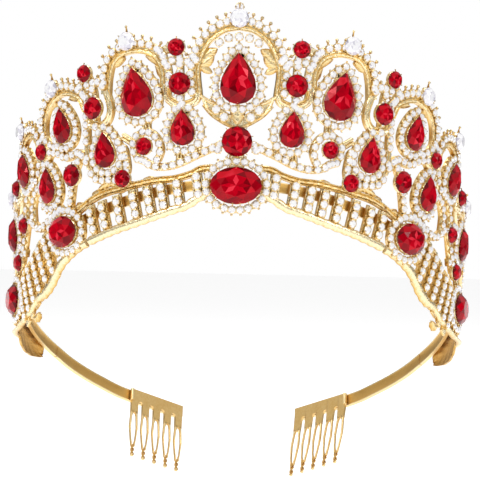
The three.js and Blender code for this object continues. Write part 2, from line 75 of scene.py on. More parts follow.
@dataclass(frozen=True)
class Wall:
    """The bent wall: where a point of the flat pattern lies in space.

    Attributes:
        radius: Neutral radius of the cylinder, mm.
        edge: Radius of the stones' edges, where sizes are true, mm.
        places: Places u on the pattern whose turn round the wall is known, mm.
        turns: Their turns, degrees.
        base: Height of the pattern's base line above the frame's origin, mm.
        back: Depth of the wall's inner face, mm.
    """

    radius: float = 70.0
    edge: float = 72.2
    base: float = 33.0
    back: float = -1.1
    places: tuple[float, ...] = (0, 20, 30, 40, 50, 60, 70, 80, 87.5, 92, 98, 107.5, 113, 120, 135)
    turns: tuple[float, ...] = (0, 15.86, 23.77, 31.65, 39.47, 47.18, 54.7, 61.95, 67, 70.6, 74.2, 83.5, 89.5, 96.5,
                                113)

    def turn(self, u: Array) -> Array:
        """Turn round the wall, radians, of places on the pattern: the table between its places."""
        return np.radians(np.sign(u) * np.interp(np.abs(u), self.places, self.turns))

    def pattern(self, angle: float) -> float:
        """Place on the pattern of a turn round the wall, mm."""
        return float(np.sign(angle) * np.interp(abs(math.degrees(angle)), self.turns, self.places))

    def bend(self, points: Array, angle: Array) -> Array:
        """Wrap flat points round the cylinder.

        Args:
            points: Rows of (u, z, w), mm.
            angle: Their turns round the wall, radians.

        Returns:
            Rows of (x, y, z), m: distance radius + w at that turn, height z + base.
        """
        reach = self.radius + points[:, 2]
        return MM * np.stack([reach * np.sin(angle), -reach * np.cos(angle), points[:, 1] + self.base], axis=1)

    def stand(self, local: Array, at: Point, lean: float, depth: float) -> Array:
        """Place a rigid piece on the wall without bending it.

        Args:
            local: Rows of (x, y, height) in the piece's own plane, mm.
            at: Turn of its middle round the wall, radians, and its height on the pattern, mm.
            lean: Turn of its top towards +u, radians.
            depth: Depth of its back, mm.

        Returns:
            Rows of (x, y, z), m.
        """
        angle = at[0]
        x = local[:, 0] * math.cos(lean) + local[:, 1] * math.sin(lean)
        z = -local[:, 0] * math.sin(lean) + local[:, 1] * math.cos(lean)
        out = self.radius + depth + local[:, 2]
        return MM * np.stack([out * math.sin(angle) + x * math.cos(angle),
                              -out * math.cos(angle) + x * math.sin(angle), z + at[1] + self.base], axis=1)


WALL = Wall()


@dataclass(frozen=True)
class Line:
    """A smooth line on a flat plane.

    Attributes:
        points: Its samples, mm.
        along: Unit directions at the samples.
        run: Distances of the samples from its start, mm.
    """

    points: Array
    along: Array
    run: Array

    @classmethod
    def through(cls, knots: Knots, spacing: float = 0.5, closed: bool = False) -> "Line":
        """Draw a Catmull-Rom curve through knots and divide it evenly.

        Args:
            knots: Points that the line passes through, mm.
            spacing: Distance between its samples, mm.
            closed: Whether the line returns to its first knot.

        Returns:
            The line; a closed one doesn't repeat its first sample.
        """
        p = np.asarray(knots, float)
        if closed:
            p = np.vstack([p[-1], p, p[0], p[1]])
        else:
            p = np.vstack([2 * p[0] - p[1], p, 2 * p[-1] - p[-2]])
        t = np.linspace(0, 1, KNOT_STEPS, endpoint=False)[None, :, None]
        a, b, c, d = (p[i:len(p) - 3 + i, None, :] for i in range(4))
        dense = 0.5 * (2 * b + (c - a) * t + (2 * a - 5 * b + 4 * c - d) * t**2
                       + (3 * b - a - 3 * c + d) * t**3)
        dense = np.vstack([dense.reshape(-1, 2), p[-2]])
        return cls.evenly(dense, spacing, closed)

    @classmethod
    def evenly(cls, dense: Array, spacing: float, closed: bool = False) -> "Line":
        """Resample a dense polyline at equal steps of arc length.

        Args:
            dense: Points of the polyline, mm.
            spacing: Distance between samples, mm.
            closed: Whether its last point is its first.

        Returns:
            The line; a closed one doesn't repeat its first sample.
        """
        run = np.concatenate([[0], np.cumsum(np.linalg.norm(np.diff(dense, axis=0), axis=1))])
        count = max(3, round(run[-1] / spacing) + 1)
        at = np.linspace(0, run[-1], count, endpoint=not closed)
        points = np.stack([np.interp(at, run, dense[:, k]) for k in range(2)], axis=1)
        if closed:
            step = np.roll(points, -1, axis=0) - np.roll(points, 1, axis=0)
        else:
            step = np.gradient(points, axis=0)
        return cls(points, step / np.linalg.norm(step, axis=1, keepdims=True), at)

    @property
    def across(self) -> Array:
        """Unit normals, to the left of the line's direction."""
        return np.stack([-self.along[:, 1], self.along[:, 0]], axis=1)

    @property
    def share(self) -> Array:
        """Distance along the line from 0 to 1."""
        return self.run / self.run[-1]

    def moved(self, offset: float) -> "Line":
        """The line shifted to its left by a distance."""
        return Line(self.points + offset * self.across, self.along, self.run)


@dataclass
class Bag:
    """Collects vertices and faces of one mesh, with a tone for each face and a depth for each vertex.

    Attributes:
        points: Arrays of vertices, m.
        faces: Vertex numbers of each face.
        tone: Lightness of a facet, from 0 to 1, for stones: painted reflection and shade.
        depth: 0 in a recess and 1 on a ridge, for metal: where the finish paints shade and highlight.
        count: Number of vertices so far.
        side: Half of the wall that flat shapes go to: 1 right, -1 left.
        about: Turn round the wall of a piece drawn in true sizes, radians, or None for the pattern.
    """

    points: list[Array] = field(default_factory=list)
    faces: list[list[int]] = field(default_factory=list)
    tone: list[Array] = field(default_factory=list)
    depth: list[Array] = field(default_factory=list)
    count: int = 0
    side: int = 1
    about: float | None = None

    def wall(self, rows: Array, faces: list[Array], tones: list[Array] | None = None,
             depth: Array | float = 1.0) -> None:
        """Add a flat shape on the half now being made, or in true sizes about one turn if that is set.

        Args:
            rows: Rows of (u, z, w), mm.
            faces: Arrays of vertex numbers, one array for each number of corners.
            tones: Lightness of each face, in arrays that match faces.
            depth: Depth of every vertex, or one value for all.
        """
        if self.about is None:
            rows = rows * [self.side, 1, 1]
            angle = WALL.turn(rows[:, 0])
        else:
            angle = self.about + rows[:, 0] / WALL.edge
        self.add(WALL.bend(rows, angle), faces, tones, depth)

    def add(self, points: Array, faces: list[Array], tones: list[Array] | None = None,
            depth: Array | float = 1.0) -> None:
        """Add a shape.

        Args:
            points: Rows of (x, y, z), m.
            faces: Arrays of vertex numbers, one array for each number of corners.
            tones: Lightness of each face, in arrays that match faces.
            depth: Depth of every vertex, or one value for all.
        """
        self.points.append(points)
        self.depth.append(np.broadcast_to(depth, len(points)).astype(float))
        for i, group in enumerate(faces):
            self.faces.extend((group + self.count).tolist())
            self.tone.append(np.ones(len(group)) if tones is None else tones[i])
        self.count += len(points)

    def piece(self, name: str, material: bpy.types.Material, smooth: bool = False) -> bpy.types.Object:
        """Turn the collected shapes into one object at the origin.

        Args:
            name: Name of the piece.
            material: Its finish.
            smooth: Whether faces are shaded smooth where they meet at a shallow angle.

        Returns:
            The new object, linked to the scene, with its faces pointing out.
        """
        mesh = bpy.data.meshes.new(name)
        mesh.from_pydata(np.vstack(self.points), [], self.faces)
        for key, domain, values in (("tone", "FACE", self.tone), ("depth", "POINT", self.depth)):
            attribute = mesh.attributes.new(key, "FLOAT", domain)
            attribute.data.foreach_set("value", np.concatenate(values).astype(np.float32))
        work = bmesh.new()
        work.from_mesh(mesh)
        bmesh.ops.recalc_face_normals(work, faces=work.faces)
        work.to_mesh(mesh)
        work.free()
        if smooth:
            mesh.shade_smooth()
            mesh.set_sharp_from_angle(angle=SHARP_ABOVE)
        mesh.materials.append(material)
        piece = bpy.data.objects.new(name, mesh)
        bpy.context.scene.collection.objects.link(piece)
        return piece


Relief = Callable[[Array, Array], Array]


@dataclass(frozen=True)
class Section:
    """Cross-section of a bar: a back edge and a front surface.

    Attributes:
        across: Places over the width, from -1 to 1, of the front surface's points.
        height: Height of each above the wall's back, mm.
        half_width: Half width of the bar, mm.
        relief: Height that is added along and across the front, from (run, across), mm.
        base: Height of the bar's back above the wall's back, mm.
        shell: Thickness of a bar whose back follows its front, mm, or None for a flat back.
    """

    across: tuple[float, ...]
    height: tuple[float, ...]
    half_width: float
    relief: Relief | None = None
    base: float = 0.7
    shell: float | None = None


def rope(pitch: float, amount: float, slant: float) -> Relief:
    """Twisted-rope relief: a rectified sine wave that runs slantwise over the bar."""
    return lambda run, across: amount * np.abs(np.sin(np.pi * (run / pitch + slant * across)))


def grains(pitch: float, amount: float) -> Relief:
    """Grainy relief: two crossed waves of unlike pitch, strongest in the middle of the bar."""
    return lambda run, across: (amount * np.sin(2 * np.pi * run / pitch + 5 * across)
                                * np.cos(2 * np.pi * run / (pitch * 1.7) - 7 * across) * (1 - across**2))


def bar(bag: Bag, line: Line, section: Section, width: Array | float = 1.0, closed: bool = False) -> None:
    """Carry a section along a line of the flat pattern and bend the result round the wall.

    A front point is the line's point, plus its normal times across times the half width, at the height of
    the section plus its relief. Two back corners close the bar, or the same surface a shell's thickness
    behind it, and flat ends close an open one. Its depth attribute is its height as a share of the section's,
    with the relief weighted about its middle; the metal finish paints shade where it is low and highlight where it is
    high.

    Args:
        bag: Mesh to add to.
        line: Middle line of the bar.
        section: Its cross-section.
        width: Factor on the half width, for all or for each sample of the line.
        closed: Whether the line is a ring.
    """
    n = len(line.points)
    front = len(section.across)
    if section.shell is None:
        across = np.array([*section.across, 1.0, -1.0])
        height = np.array([*section.height, section.base, section.base])
    else:
        across = np.array([*section.across, *section.across[::-1]])
        height = np.array([*section.height, *(h - section.shell for h in section.height[::-1])])
    m = len(across)
    run, over = np.meshgrid(line.run, across, indexing="ij")
    lift = np.zeros((n, m)) if section.relief is None else section.relief(run, over)
    if section.shell is None:
        lift[:, front:] = 0
    wide = (np.broadcast_to(width, n) * section.half_width)[:, None] * across
    flat = line.points[:, None, :] + line.across[:, None, :] * wide[:, :, None]
    w = WALL.back + height[None, :] + lift
    rows = np.concatenate([flat, w[:, :, None]], axis=2).reshape(-1, 3)
    i = np.arange(n if closed else n - 1)[:, None]
    j = np.arange(m)[None, :]
    k, l = (i + 1) % n, (j + 1) % m
    quads = np.stack([i * m + j, i * m + l, k * m + l, k * m + j], axis=2).reshape(-1, 4)
    faces = [quads]
    if not closed:
        faces.append(np.stack([np.arange(m), (n - 1) * m + np.arange(m)[::-1]]))
    top = max(section.height)
    depth = np.clip((height[None, :] + RELIEF_WEIGHT * (lift - lift.max() * 0.5)) / top, 0, 1)
    bag.wall(rows, faces, depth=depth.ravel())


# sections of the castings' bars
RAIL = Section((-1, -0.86, -0.66, -0.34, 0, 0.34, 0.66, 0.86, 1), (1.5, 2.1, 1.65, 1.85, 1.95, 1.85, 1.65, 2.1, 1.5),
               1.0, grains(1.15, 0.16))
SCROLL = Section((-1, -0.7, 0, 0.7, 1), (1.1, 1.75, 2.0, 1.75, 1.1), 0.62, rope(0.95, 0.16, 0.4))
WIRE = Section((-1, -0.6, 0, 0.6, 1), (1.3, 1.8, 2.0, 1.8, 1.3), 0.36)
FINE = Section((-1, -0.4, 0.4, 1), (0.9, 1.5, 1.5, 0.9), 0.36)
BED = Section((-1, -0.85, 0, 0.85, 1), (1.2, 1.65, 1.55, 1.65, 1.2), 1.35, grains(1.3, 0.1))
STEM = Section((-1, -0.8, 0, 0.8, 1), (1.2, 1.7, 1.6, 1.7, 1.2), 1.1, rope(1.2, 0.15, 0.3))
FOOT_RAIL = Section((-1, -0.86, -0.5, 0, 0.5, 0.86, 1), (1.1, 1.6, 1.95, 2.1, 1.95, 1.7, 1.4), 1.2,
                    rope(1.65, 0.3, 0.7), base=0.6)
FOOT = Section((-1, -0.8, -0.35, 0, 0.4, 0.8, 1), (1.5, 2.1, 2.3, 2.05, 2.3, 2.0, 1.4), 1.25,
               rope(3.1, 0.2, 0.55))


def leaf(bag: Bag, knots: Knots, half_width: float, veins: int = 6, height: float = 1.9) -> None:
    """A cast leaf: its half width swells as a sine along the middle line, with a keel and slanted veins.

    Args:
        bag: Mesh to add to.
        knots: Middle line from stalk to tip.
        half_width: Half width at its widest, mm.
        veins: Number of side veins.
        height: Height of the keel above the back, mm.
    """
    line = Line.through(knots, 0.35)
    length = line.run[-1]
    across = tuple(np.linspace(-1, 1, 11))
    dome = tuple(height * (0.62 + 0.38 * (1 - abs(a) ** 1.3)) for a in across)

    def grooves(run: Array, over: Array) -> Array:
        """Veins: a rectified sine wave along the leaf that leans to the tip and deepens towards the edges."""
        vein = np.abs(np.sin(np.pi * veins * (run / length - 0.22 * np.abs(over))))
        return 0.34 * vein * (0.35 + 0.65 * np.abs(over)) - 0.3

    swell = np.sin(np.pi * np.clip(line.share * 0.94 + 0.05, 0, 1)) ** 0.7
    serrated = 1 + 0.07 * np.abs(np.sin(np.pi * veins * line.share))
    bar(bag, line, Section(across, dome, half_width, grooves, shell=0.8), width=swell * serrated)


# ---- Repeated small shapes ----------------------------------------


@dataclass(frozen=True)
class Stamp:
    """A small shape of unit size that is repeated over the wall.

    Attributes:
        points: Rows of (x, y, height) of its vertices.
        faces: Arrays of vertex numbers, one array for each number of corners.
        tones: Lightness of each face, in arrays that match faces.
    """

    points: Array
    faces: tuple[Array, ...]
    tones: tuple[Array, ...]

    def press(self, bag: Bag, places: Array, vary: np.random.Generator | None = None) -> None:
        """Repeat the shape.

        Args:
            bag: Mesh to add to.
            places: Rows of (u, z, w, size, turn): mm and radians.
            vary: Source of small changes of tone from copy to copy.
        """
        u, z, w, size, turn = places.T[:, :, None]
        x, y, h = self.points.T[:, None, :]
        flat = np.stack([u + size * (x * np.cos(turn) - y * np.sin(turn)),
                         z + size * (x * np.sin(turn) + y * np.cos(turn)), w + size * h], axis=2)
        n, k = len(places), len(self.points)
        start = (np.arange(n) * k)[:, None, None]
        faces = [(group[None] + start).reshape(-1, group.shape[1]) for group in self.faces]
        tones = [np.tile(group, n) for group in self.tones]
        if vary is not None:
            tones = [np.clip(group + vary.uniform(-0.3, 0.3, len(group)), 0, 1) for group in tones]
        # depth attribute from each vertex's height: painted shade low down, painted highlight high up
        heights = np.tile(np.clip(self.points[:, 2] * 3 + 0.3, 0, 1), n)
        bag.wall(flat.reshape(-1, 3), faces, tones, heights)


def ring(sides: int, radius: float, height: float, turn: float = 0.0) -> Array:
    """Points of a level regular polygon."""
    angle = 2 * np.pi * (np.arange(sides) + turn) / sides
    return np.stack([radius * np.sin(angle), radius * np.cos(angle), np.full(sides, height)], axis=1)


def band(first: int, second: int, sides: int) -> Array:
    """Quads between two rings.

    Args:
        first: Number of the first ring's first vertex.
        second: Number of the second ring's first vertex.
        sides: Vertices in a ring.

    Returns:
        Rows of four vertex numbers.
    """
    i = np.arange(sides)
    j = (i + 1) % sides
    return np.stack([first + i, first + j, second + j, second + i], axis=1)


def tube(steps: int, corners: int) -> list[Array]:
    """Faces of a section that is carried along a line.

    Args:
        steps: Number of sections.
        corners: Vertices in a section.

    Returns:
        The quads between the sections, and the two end faces.
    """
    i, j = np.arange(steps - 1)[:, None], np.arange(corners)[None, :]
    k = (j + 1) % corners
    quads = np.stack([i * corners + j, i * corners + k, (i + 1) * corners + k, (i + 1) * corners + j], axis=2)
    ends = np.stack([np.arange(corners), (steps - 1) * corners + np.arange(corners)[::-1]])
    return [quads.reshape(-1, 4), ends]


def zigzag(first: int, second: int, sides: int) -> Array:
    """Triangles between two rings, the second turned by half a step after the first.

    Args:
        first: Number of the first ring's first vertex.
        second: Number of the second ring's first vertex.
        sides: Vertices in a ring.

    Returns:
        Rows of three vertex numbers.
    """
    i = np.arange(sides)
    j = (i + 1) % sides
    return np.vstack([np.stack([first + i, first + j, second + i], axis=1),
                      np.stack([second + i, first + j, second + j], axis=1)])


def chaton() -> Stamp:
    """A small round stone: back, girdle, crown facets and an eight-sided table.

    Returns:
        The stone, 1 across, with its back at height 0.
    """
    n = 8
    points = np.vstack([ring(n, 0.46, 0), ring(n, 0.5, 0.12), ring(n, 0.29, 0.36, 0.5)])
    # painted sparkle: crown facets alternate painted light and dark, the table is painted bright, girdle and back
    # painted dark
    crown = np.array([0.95, 0.45, 0.85, 0.6, 1.0, 0.4, 0.8, 0.7, 0.55, 0.9, 0.5, 1.0, 0.65, 0.85, 0.45, 0.9])
    eights = np.array([np.arange(n)[::-1], 2 * n + np.arange(n)])
    return Stamp(points, (band(0, n, n), zigzag(n, 2 * n, n), eights),
                 (np.full(n, 0.3), crown, np.array([0.2, 0.92])))


def cup() -> Stamp:
    """The tapered cup round a small stone: outer wall, rim and inner wall.

    Returns:
        The cup round a stone that is 1 across.
    """
    n = 9
    points = np.vstack([ring(n, 0.5, -0.5), ring(n, 0.585, 0.1), ring(n, 0.5, 0.13), ring(n, 0.47, -0.1)])
    lid = np.array([np.arange(n)[::-1], 3 * n + np.arange(n)])
    faces = (band(0, n, n), band(n, 2 * n, n), band(2 * n, 3 * n, n), lid)
    return Stamp(points, faces, tuple(np.ones(len(group)) for group in faces))


def block(base: Array, top: Array) -> tuple[Array, Array]:
    """A closed block between two four-cornered rings."""
    faces = np.vstack([band(0, 4, 4), [[3, 2, 1, 0]], [[4, 5, 6, 7]]])
    return np.vstack([base, top]), faces


def prongs() -> Stamp:
    """Four small prongs that lean over a stone's edge.

    Returns:
        The prongs round a stone that is 1 across.
    """
    points, faces = [], []
    for k in range(4):
        shape, quads = block(ring(4, 0.1, -0.1, 0.5), ring(4, 0.05, 0.3, 0.5) - [0, 0.1, 0])
        shape = shape + [0, 0.54, 0]
        turn = math.pi / 2 * k + 0.4
        x, y = shape[:, 0].copy(), shape[:, 1].copy()
        shape[:, 0] = x * math.cos(turn) - y * math.sin(turn)
        shape[:, 1] = x * math.sin(turn) + y * math.cos(turn)
        points.append(shape)
        faces.append(quads + 8 * k)
    return Stamp(np.vstack(points), (np.vstack(faces),), (np.ones(24),))


def claw() -> Stamp:
    """A spur that points along +y from a cup's edge and ends in a small ball.

    Returns:
        The spur, with its ball's middle 0.98 from its root.
    """
    stem, quads = block(np.array([[0.13, 0, -0.5], [-0.13, 0, -0.5], [-0.13, 0, -0.2], [0.13, 0, -0.2]]),
                        np.array([[0.09, 0.95, -0.12], [-0.09, 0.95, -0.12], [-0.09, 0.95, 0.04],
                                  [0.09, 0.95, 0.04]]))
    n = 6
    ball = np.vstack([ring(n, 0.15, -0.2), ring(n, 0.27, 0.0, 0.5), ring(n, 0.15, 0.2)]) + [0, 0.98, 0.02]
    caps = np.array([8 + np.arange(n)[::-1], 8 + 2 * n + np.arange(n)])
    faces = (quads, np.vstack([zigzag(8, 8 + n, n), zigzag(8 + n, 8 + 2 * n, n)]), caps)
    return Stamp(np.vstack([stem, ball]), faces, tuple(np.ones(len(group)) for group in faces))


CHATON, CUP, PRONGS, CLAW = chaton(), cup(), prongs(), claw()


# ---- The flat pattern's lines, right half, mm ----------------------------------------

# right half of the arch over the middle pear
CENTRE_ARCH: Knots = [(12.6, 29.5), (13.3, 38), (10.6, 45.4), (5.4, 49.7), (0, 51)]
# the other arches, from the middle out
SIDE_ARCHES: list[Knots] = [
    [(22.2, 32), (22.6, 37.5), (25.6, 42.2), (31, 43.9), (37, 43.2), (41.2, 40.2), (42.8, 35.5), (43.2, 30)],
    [(50.8, 25.8), (53.4, 29.6), (58, 31.4), (63.5, 31.5), (68.8, 29.2), (72.6, 25), (73.6, 20), (72.4, 15)],
    [(76.4, 12), (77.6, 16), (81.4, 18.7), (87, 19), (91.6, 16.6), (94.6, 12), (95.4, 6), (94.6, 0)],
    [(98.5, -2.6), (103, -2), (108.5, -3.6), (112, -8), (113.6, -14), (114.8, -22), (118.5, -31), (124, -39)],
]
# loops between the feet of two arches
LOOPS: list[Knots] = [
    [(12.2, 30.5), (12.8, 28), (17, 26.6), (21.4, 28.4), (22.4, 33)],
    [(42.8, 31), (41, 25.6), (42.6, 21.6), (46.4, 20.2), (50, 22), (51, 26.6)],
    [(72.8, 17.6), (69, 12.6), (72.4, 9.2), (76, 10.2), (76.8, 13.6)],
    [(94.6, 1.4), (93.6, -1), (97.4, -1.6), (100.6, -2.4)],
]
# bars that carry the stones of a valley
GEM_STEMS: list[Knots] = [
    [(17.5, 26.4), (17.6, 33), (17.9, 39), (18.8, 43.8)],
    [(46.6, 20.4), (47.1, 26), (48.2, 31.6), (51.1, 36.3)],
    [(72.4, 9.4), (72.6, 13), (73.4, 16.6), (75.2, 22.4)],
    [(12.9, 40.2), (15.6, 39.6), (19, 40.2), (22.6, 39.4)],
    [(43.6, 33.4), (46.5, 33.8), (50.6, 33)],
    [(50.8, 29), (53.6, 32), (51.1, 36.3)],
    [(20.8, 44.4), (24.2, 42.6)],
    [(97.4, 2), (96.2, 6.4)],
    [(52.6, 12.2), (55.6, 5.9), (57.4, -4.6)],
]
# scrolls and branches below the arches
BRANCHES: list[Knots] = [
    [(5, 15.4), (9, 13.6), (12.6, 12), (17.4, 9.8), (21.9, 8.7), (26, 8.9), (29.4, 10.6)],
    [(36, 4.4), (41, 4.6), (45.4, 4.6), (48.6, 7.4), (50, 12), (50.4, 18), (50.8, 26)],
    [(50.2, 10), (53.4, 12.6), (59.5, 11.2), (63.7, 12.4), (68.6, 12.8)],
    [(66, 14.4), (70.4, 15.8), (73, 18)],
    [(24.4, 10.6), (23.4, 14), (25.2, 17.6), (28.6, 19), (31.6, 17.4), (32.6, 14.2), (31, 11), (28.4, 10.2)],
    [(27.9, 18.6), (28.4, 23.4)],
    [(11.2, 12.2), (12.4, 15.4)],
    [(33, 15.6), (36.8, 17.6)],
    [(17.6, 9.6), (17.2, 14)],
    [(35.8, 14), (34.6, 8.4), (35.6, 5)],
    [(45.4, 4.6), (44.4, 8)],
    [(62, -4.4), (65.8, -6.2), (70, -8.8), (75, -10.3), (79.6, -9), (82.8, -7.8), (86.5, -9.5)],
    [(74.4, 2.8), (78.4, 0.6), (80.6, -3.6), (79.6, -9)],
    [(76.4, 12), (75.8, 7.4), (78.4, 3.8), (83, 2.2)],
    [(86.5, -9.5), (87.4, -3.6), (85.4, 0.6)],
    [(86.5, -9.5), (91.4, -6.4), (95.4, -8.6)],
    [(94.4, 1.4), (95.2, -4), (97.4, -7.6)],
    [(87, -18), (92, -16), (97, -18)],
    [(91.5, -21), (88.4, -14.6), (86.5, -9.5)],
    [(100, -17), (99.6, -22), (99.2, -27)],
    [(106, -16), (110.6, -19), (115, -22.4)],
    [(104, -33.6), (111, -33), (119.4, -32.4)],
]
# rails of the gallery under the arches, and their ribs
UPPER_RAIL: Knots = [(7, 8.6), (10.7, 8.2), (14, 6.6), (19, 5.2), (25, 4.6), (31, 3.4), (37, 2), (43, 0.6),
                     (48, -1.4), (53, -4.4), (57, -6.4)]
SIDE_UPPER_RAIL: Knots = [(65, -9.4), (70, -12.4), (76, -16.6), (82, -20.4), (88, -23.6), (93, -27.6)]
LOWER_RAIL: Knots = [(6.4, 0.6), (10, 0), (15, -3), (20, -4.6), (30, -7.9), (40, -11), (51.5, -15.2), (57, -18),
                     (62, -21.4), (67, -27), (71, -30), (76, -32), (81, -35.4), (90, -39), (99, -41.6),
                     (110, -43.6), (120, -45.4)]
# swell of the lower rail at the side: its place and length, mm, and its share of the width
RAIL_SWELL = (68.0, 7.5, 0.35)
# scallops of the lower rail: pitch, mm, and share of the width
RAIL_SCALLOPS = (3.3, 0.1)
# thinning of the lower rail: the place where it would reach nothing, the length it takes, mm, and the least share
RAIL_TAPER = (108.0, 26.0, 0.3)
RIBS: Knots = [(11.7, 3.4), (17.7, 1.2), (22.6, 0), (27, -1.4), (31.8, -2.8), (37.4, -4.4), (42.9, -6.1),
               (47.5, -7.6)]
SIDE_RIBS: Knots = [(68.4, -18.4), (72.6, -21.2), (76.6, -24.2), (80.8, -27.4), (85, -30.4), (89.2, -33)]
# joint between the middle casting and a side one, from the top
CASTING_JOINT: Knots = [(46.4, 60), (47, 40.4), (51.3, 28.6), (51.2, 20), (49.3, 9), (49.3, -30)]
# leans of the ribs: of the first and the last rib of the front, and of all at the side, degrees
RIB_LEAN: Point = (8.0, 18.0)
SIDE_RIB_LEAN = 34.0
# numbers of the branches that carry a row of stones
BRANCHES_WITH_STONES = frozenset({0, 1, 2, 3, 4, 9, 11, 12, 13, 14, 15, 17, 18, 20})
# leaves inside the arches: root, bend, tip and half width
SHOULDER_LEAVES: tuple[tuple[Point, Point, Point, float], ...] = (
    ((12.0, 39.0), (9.6, 41.6), (6.6, 43.6), 1.7), ((11.9, 38.4), (9.8, 39.6), (7.6, 41.4), 1.5),
    ((12.0, 38.0), (10.4, 37.6), (8.0, 36.4), 1.1),
    ((24.4, 38.4), (26.4, 40.6), (29.4, 41.4), 1.4), ((40.6, 38.2), (38.8, 40.2), (36.6, 40.8), 1.4),
    ((23.6, 34.6), (24.6, 37.2), (26.0, 38.6), 1.2), ((55.2, 28.6), (57.6, 29.4), (59.8, 28.8), 1.2),
    ((70.4, 26.0), (68.6, 27.6), (66.6, 28.0), 1.2), ((79.0, 14.6), (80.6, 16.2), (83.0, 16.4), 1.1),
)
# leaves: middle line, half width and number of veins
LEAVES: tuple[tuple[Knots, float, int], ...] = (
    ([(111.6, -35.2), (118.0, -40.4), (125.4, -45.6), (135.6, -51.6)], 4.6, 7),
    ([(23.6, 4.2), (27.4, 4.9), (31.4, 2.4)], 0.9, 4), ([(29.6, 3.0), (33.4, 3.3), (37.6, 0.6)], 0.9, 4),
    ([(37.4, 2.2), (41.2, 3.8), (45.8, 1.6)], 1.2, 5), ([(43.4, 0.8), (46.8, 0.4), (49.0, -2.2)], 1.0, 4),
    ([(52.0, -2.8), (54.2, -3.2), (56.8, -5.8)], 1.0, 4), ([(66.4, -13.6), (68.2, -18.4), (71.6, -23.6)], 2.0, 5),
    ([(72.4, -17.2), (74.2, -21.4), (77.4, -25.6)], 1.8, 5), ([(75.4, -36.0), (77.6, -37.6), (80.0, -37.4)], 1.3, 3),
)


# ---- Materials ----------------------------------------


class Graph:
    """Builds the nodes of one tree."""

    def __init__(self, tree: bpy.types.NodeTree) -> None:
        """Start with an empty tree."""
        self.tree = tree
        tree.nodes.clear()

    def node(self, kind: str, settings: dict[str, object] | None = None,
             inputs: dict[str | int, object] | None = None) -> bpy.types.Node:
        """Add a node.

        Args:
            kind: Its Blender type.
            settings: Its properties; "stops" sets the places and colours of a ramp.
            inputs: Values or wrapped sockets for its inputs.

        Returns:
            The new node.
        """
        made = self.tree.nodes.new(kind)
        for key, value in (settings or {}).items():
            if key == "stops":
                elements = made.color_ramp.elements
                while len(elements) < len(value):
                    elements.new(0.5)
                for element, (place, colour) in zip(elements, value):
                    element.position, element.color = place, (*colour, 1)
            else:
                setattr(made, key, value)
        for key, value in (inputs or {}).items():
            self.feed(made.inputs[key], value)
        return made

    def feed(self, socket: bpy.types.NodeSocket, value: object) -> None:
        """Link a wrapped socket to an input, or set the input's own value.

        Args:
            socket: The input.
            value: A wrapped socket, a number, or a colour with or without its alpha.
        """
        if isinstance(value, Term):
            self.tree.links.new(value.socket, socket)
        elif isinstance(value, tuple) and socket.type == "RGBA":
            socket.default_value = (*value, 1) if len(value) == 3 else value
        else:
            socket.default_value = value

    def term(self, node: bpy.types.Node, output: str | int = 0) -> "Term":
        """Wrap one output of a node."""
        return Term(self, node.outputs[output])

    def attribute(self, name: str) -> "Term":
        """The value of a mesh attribute."""
        return self.term(self.node("ShaderNodeAttribute", {"attribute_name": name}), "Fac")

    def place(self) -> "Term":
        """Object coordinates, in metres."""
        return self.term(self.node("ShaderNodeTexCoord"), "Object")

    def noise(self, scale: float, detail: float = 2.0) -> "Term":
        """Noise from 0 to 1 over the object's own coordinates."""
        return self.term(self.node("ShaderNodeTexNoise", {}, {"Vector": self.place(), "Scale": scale,
                                                              "Detail": detail}), "Fac")

    def ramp(self, value: "Term", stops: tuple[tuple[float, tuple[float, float, float]], ...]) -> "Term":
        """Colours along a value."""
        return self.term(self.node("ShaderNodeValToRGB", {"stops": stops}, {"Fac": value}), "Color")

class Term:
    """A shader value that Python's operators work on; each use adds one Math node."""

    def __init__(self, graph: Graph, socket: bpy.types.NodeSocket) -> None:
        """Wrap an output socket."""
        self.graph = graph
        self.socket = socket

    def join(self, operation: str, first: object, second: object) -> "Term":
        """Add a Math node of two values."""
        return self.graph.term(self.graph.node("ShaderNodeMath", {"operation": operation}, {0: first, 1: second}))

    def __add__(self, other: object) -> "Term":
        """Sum."""
        return self.join("ADD", self, other)

    def __radd__(self, other: object) -> "Term":
        """Sum, reflected."""
        return self.join("ADD", other, self)

    def __sub__(self, other: object) -> "Term":
        """Difference."""
        return self.join("SUBTRACT", self, other)

    def __rsub__(self, other: object) -> "Term":
        """Difference, reflected."""
        return self.join("SUBTRACT", other, self)

    def __mul__(self, other: object) -> "Term":
        """Product."""
        return self.join("MULTIPLY", self, other)

    def __rmul__(self, other: object) -> "Term":
        """Product, reflected."""
        return self.join("MULTIPLY", other, self)

    def limited(self) -> "Term":
        """The value kept between 0 and 1."""
        return self.join("MAXIMUM", self.join("MINIMUM", self, 1.0), 0.0)


class MaterialGraph(Graph):
    """Builds one material's nodes round its main shader."""

    def __init__(self, name: str) -> None:
        """Start a material with only its output and its main shader."""
        self.material = bpy.data.materials.new(name)
        self.material.use_nodes = True
        super().__init__(self.material.node_tree)
        self.shader = self.node("ShaderNodeBsdfPrincipled")
        self.node("ShaderNodeOutputMaterial", {}, {0: self.term(self.shader)})

    def dress(self, inputs: dict[str, object]) -> None:
        """Feed inputs of the main shader by name."""
        for name, value in inputs.items():
            self.feed(self.shader.inputs[name], value)

    def bump(self, height: Term, distance: float) -> None:
        """Feed a height to the shader's normal through one Bump node."""
        made = self.node("ShaderNodeBump", {}, {"Height": height, "Distance": distance, "Strength": 1.0})
        self.dress({"Normal": self.term(made, "Normal")})


Colour = tuple[float, float, float]
CLOUD_SCALE = 160.0  # noise scale of a metal's broad unevenness, per m
FACET_SCALE = 420.0  # noise scale of the changes within a stone's facets, per m


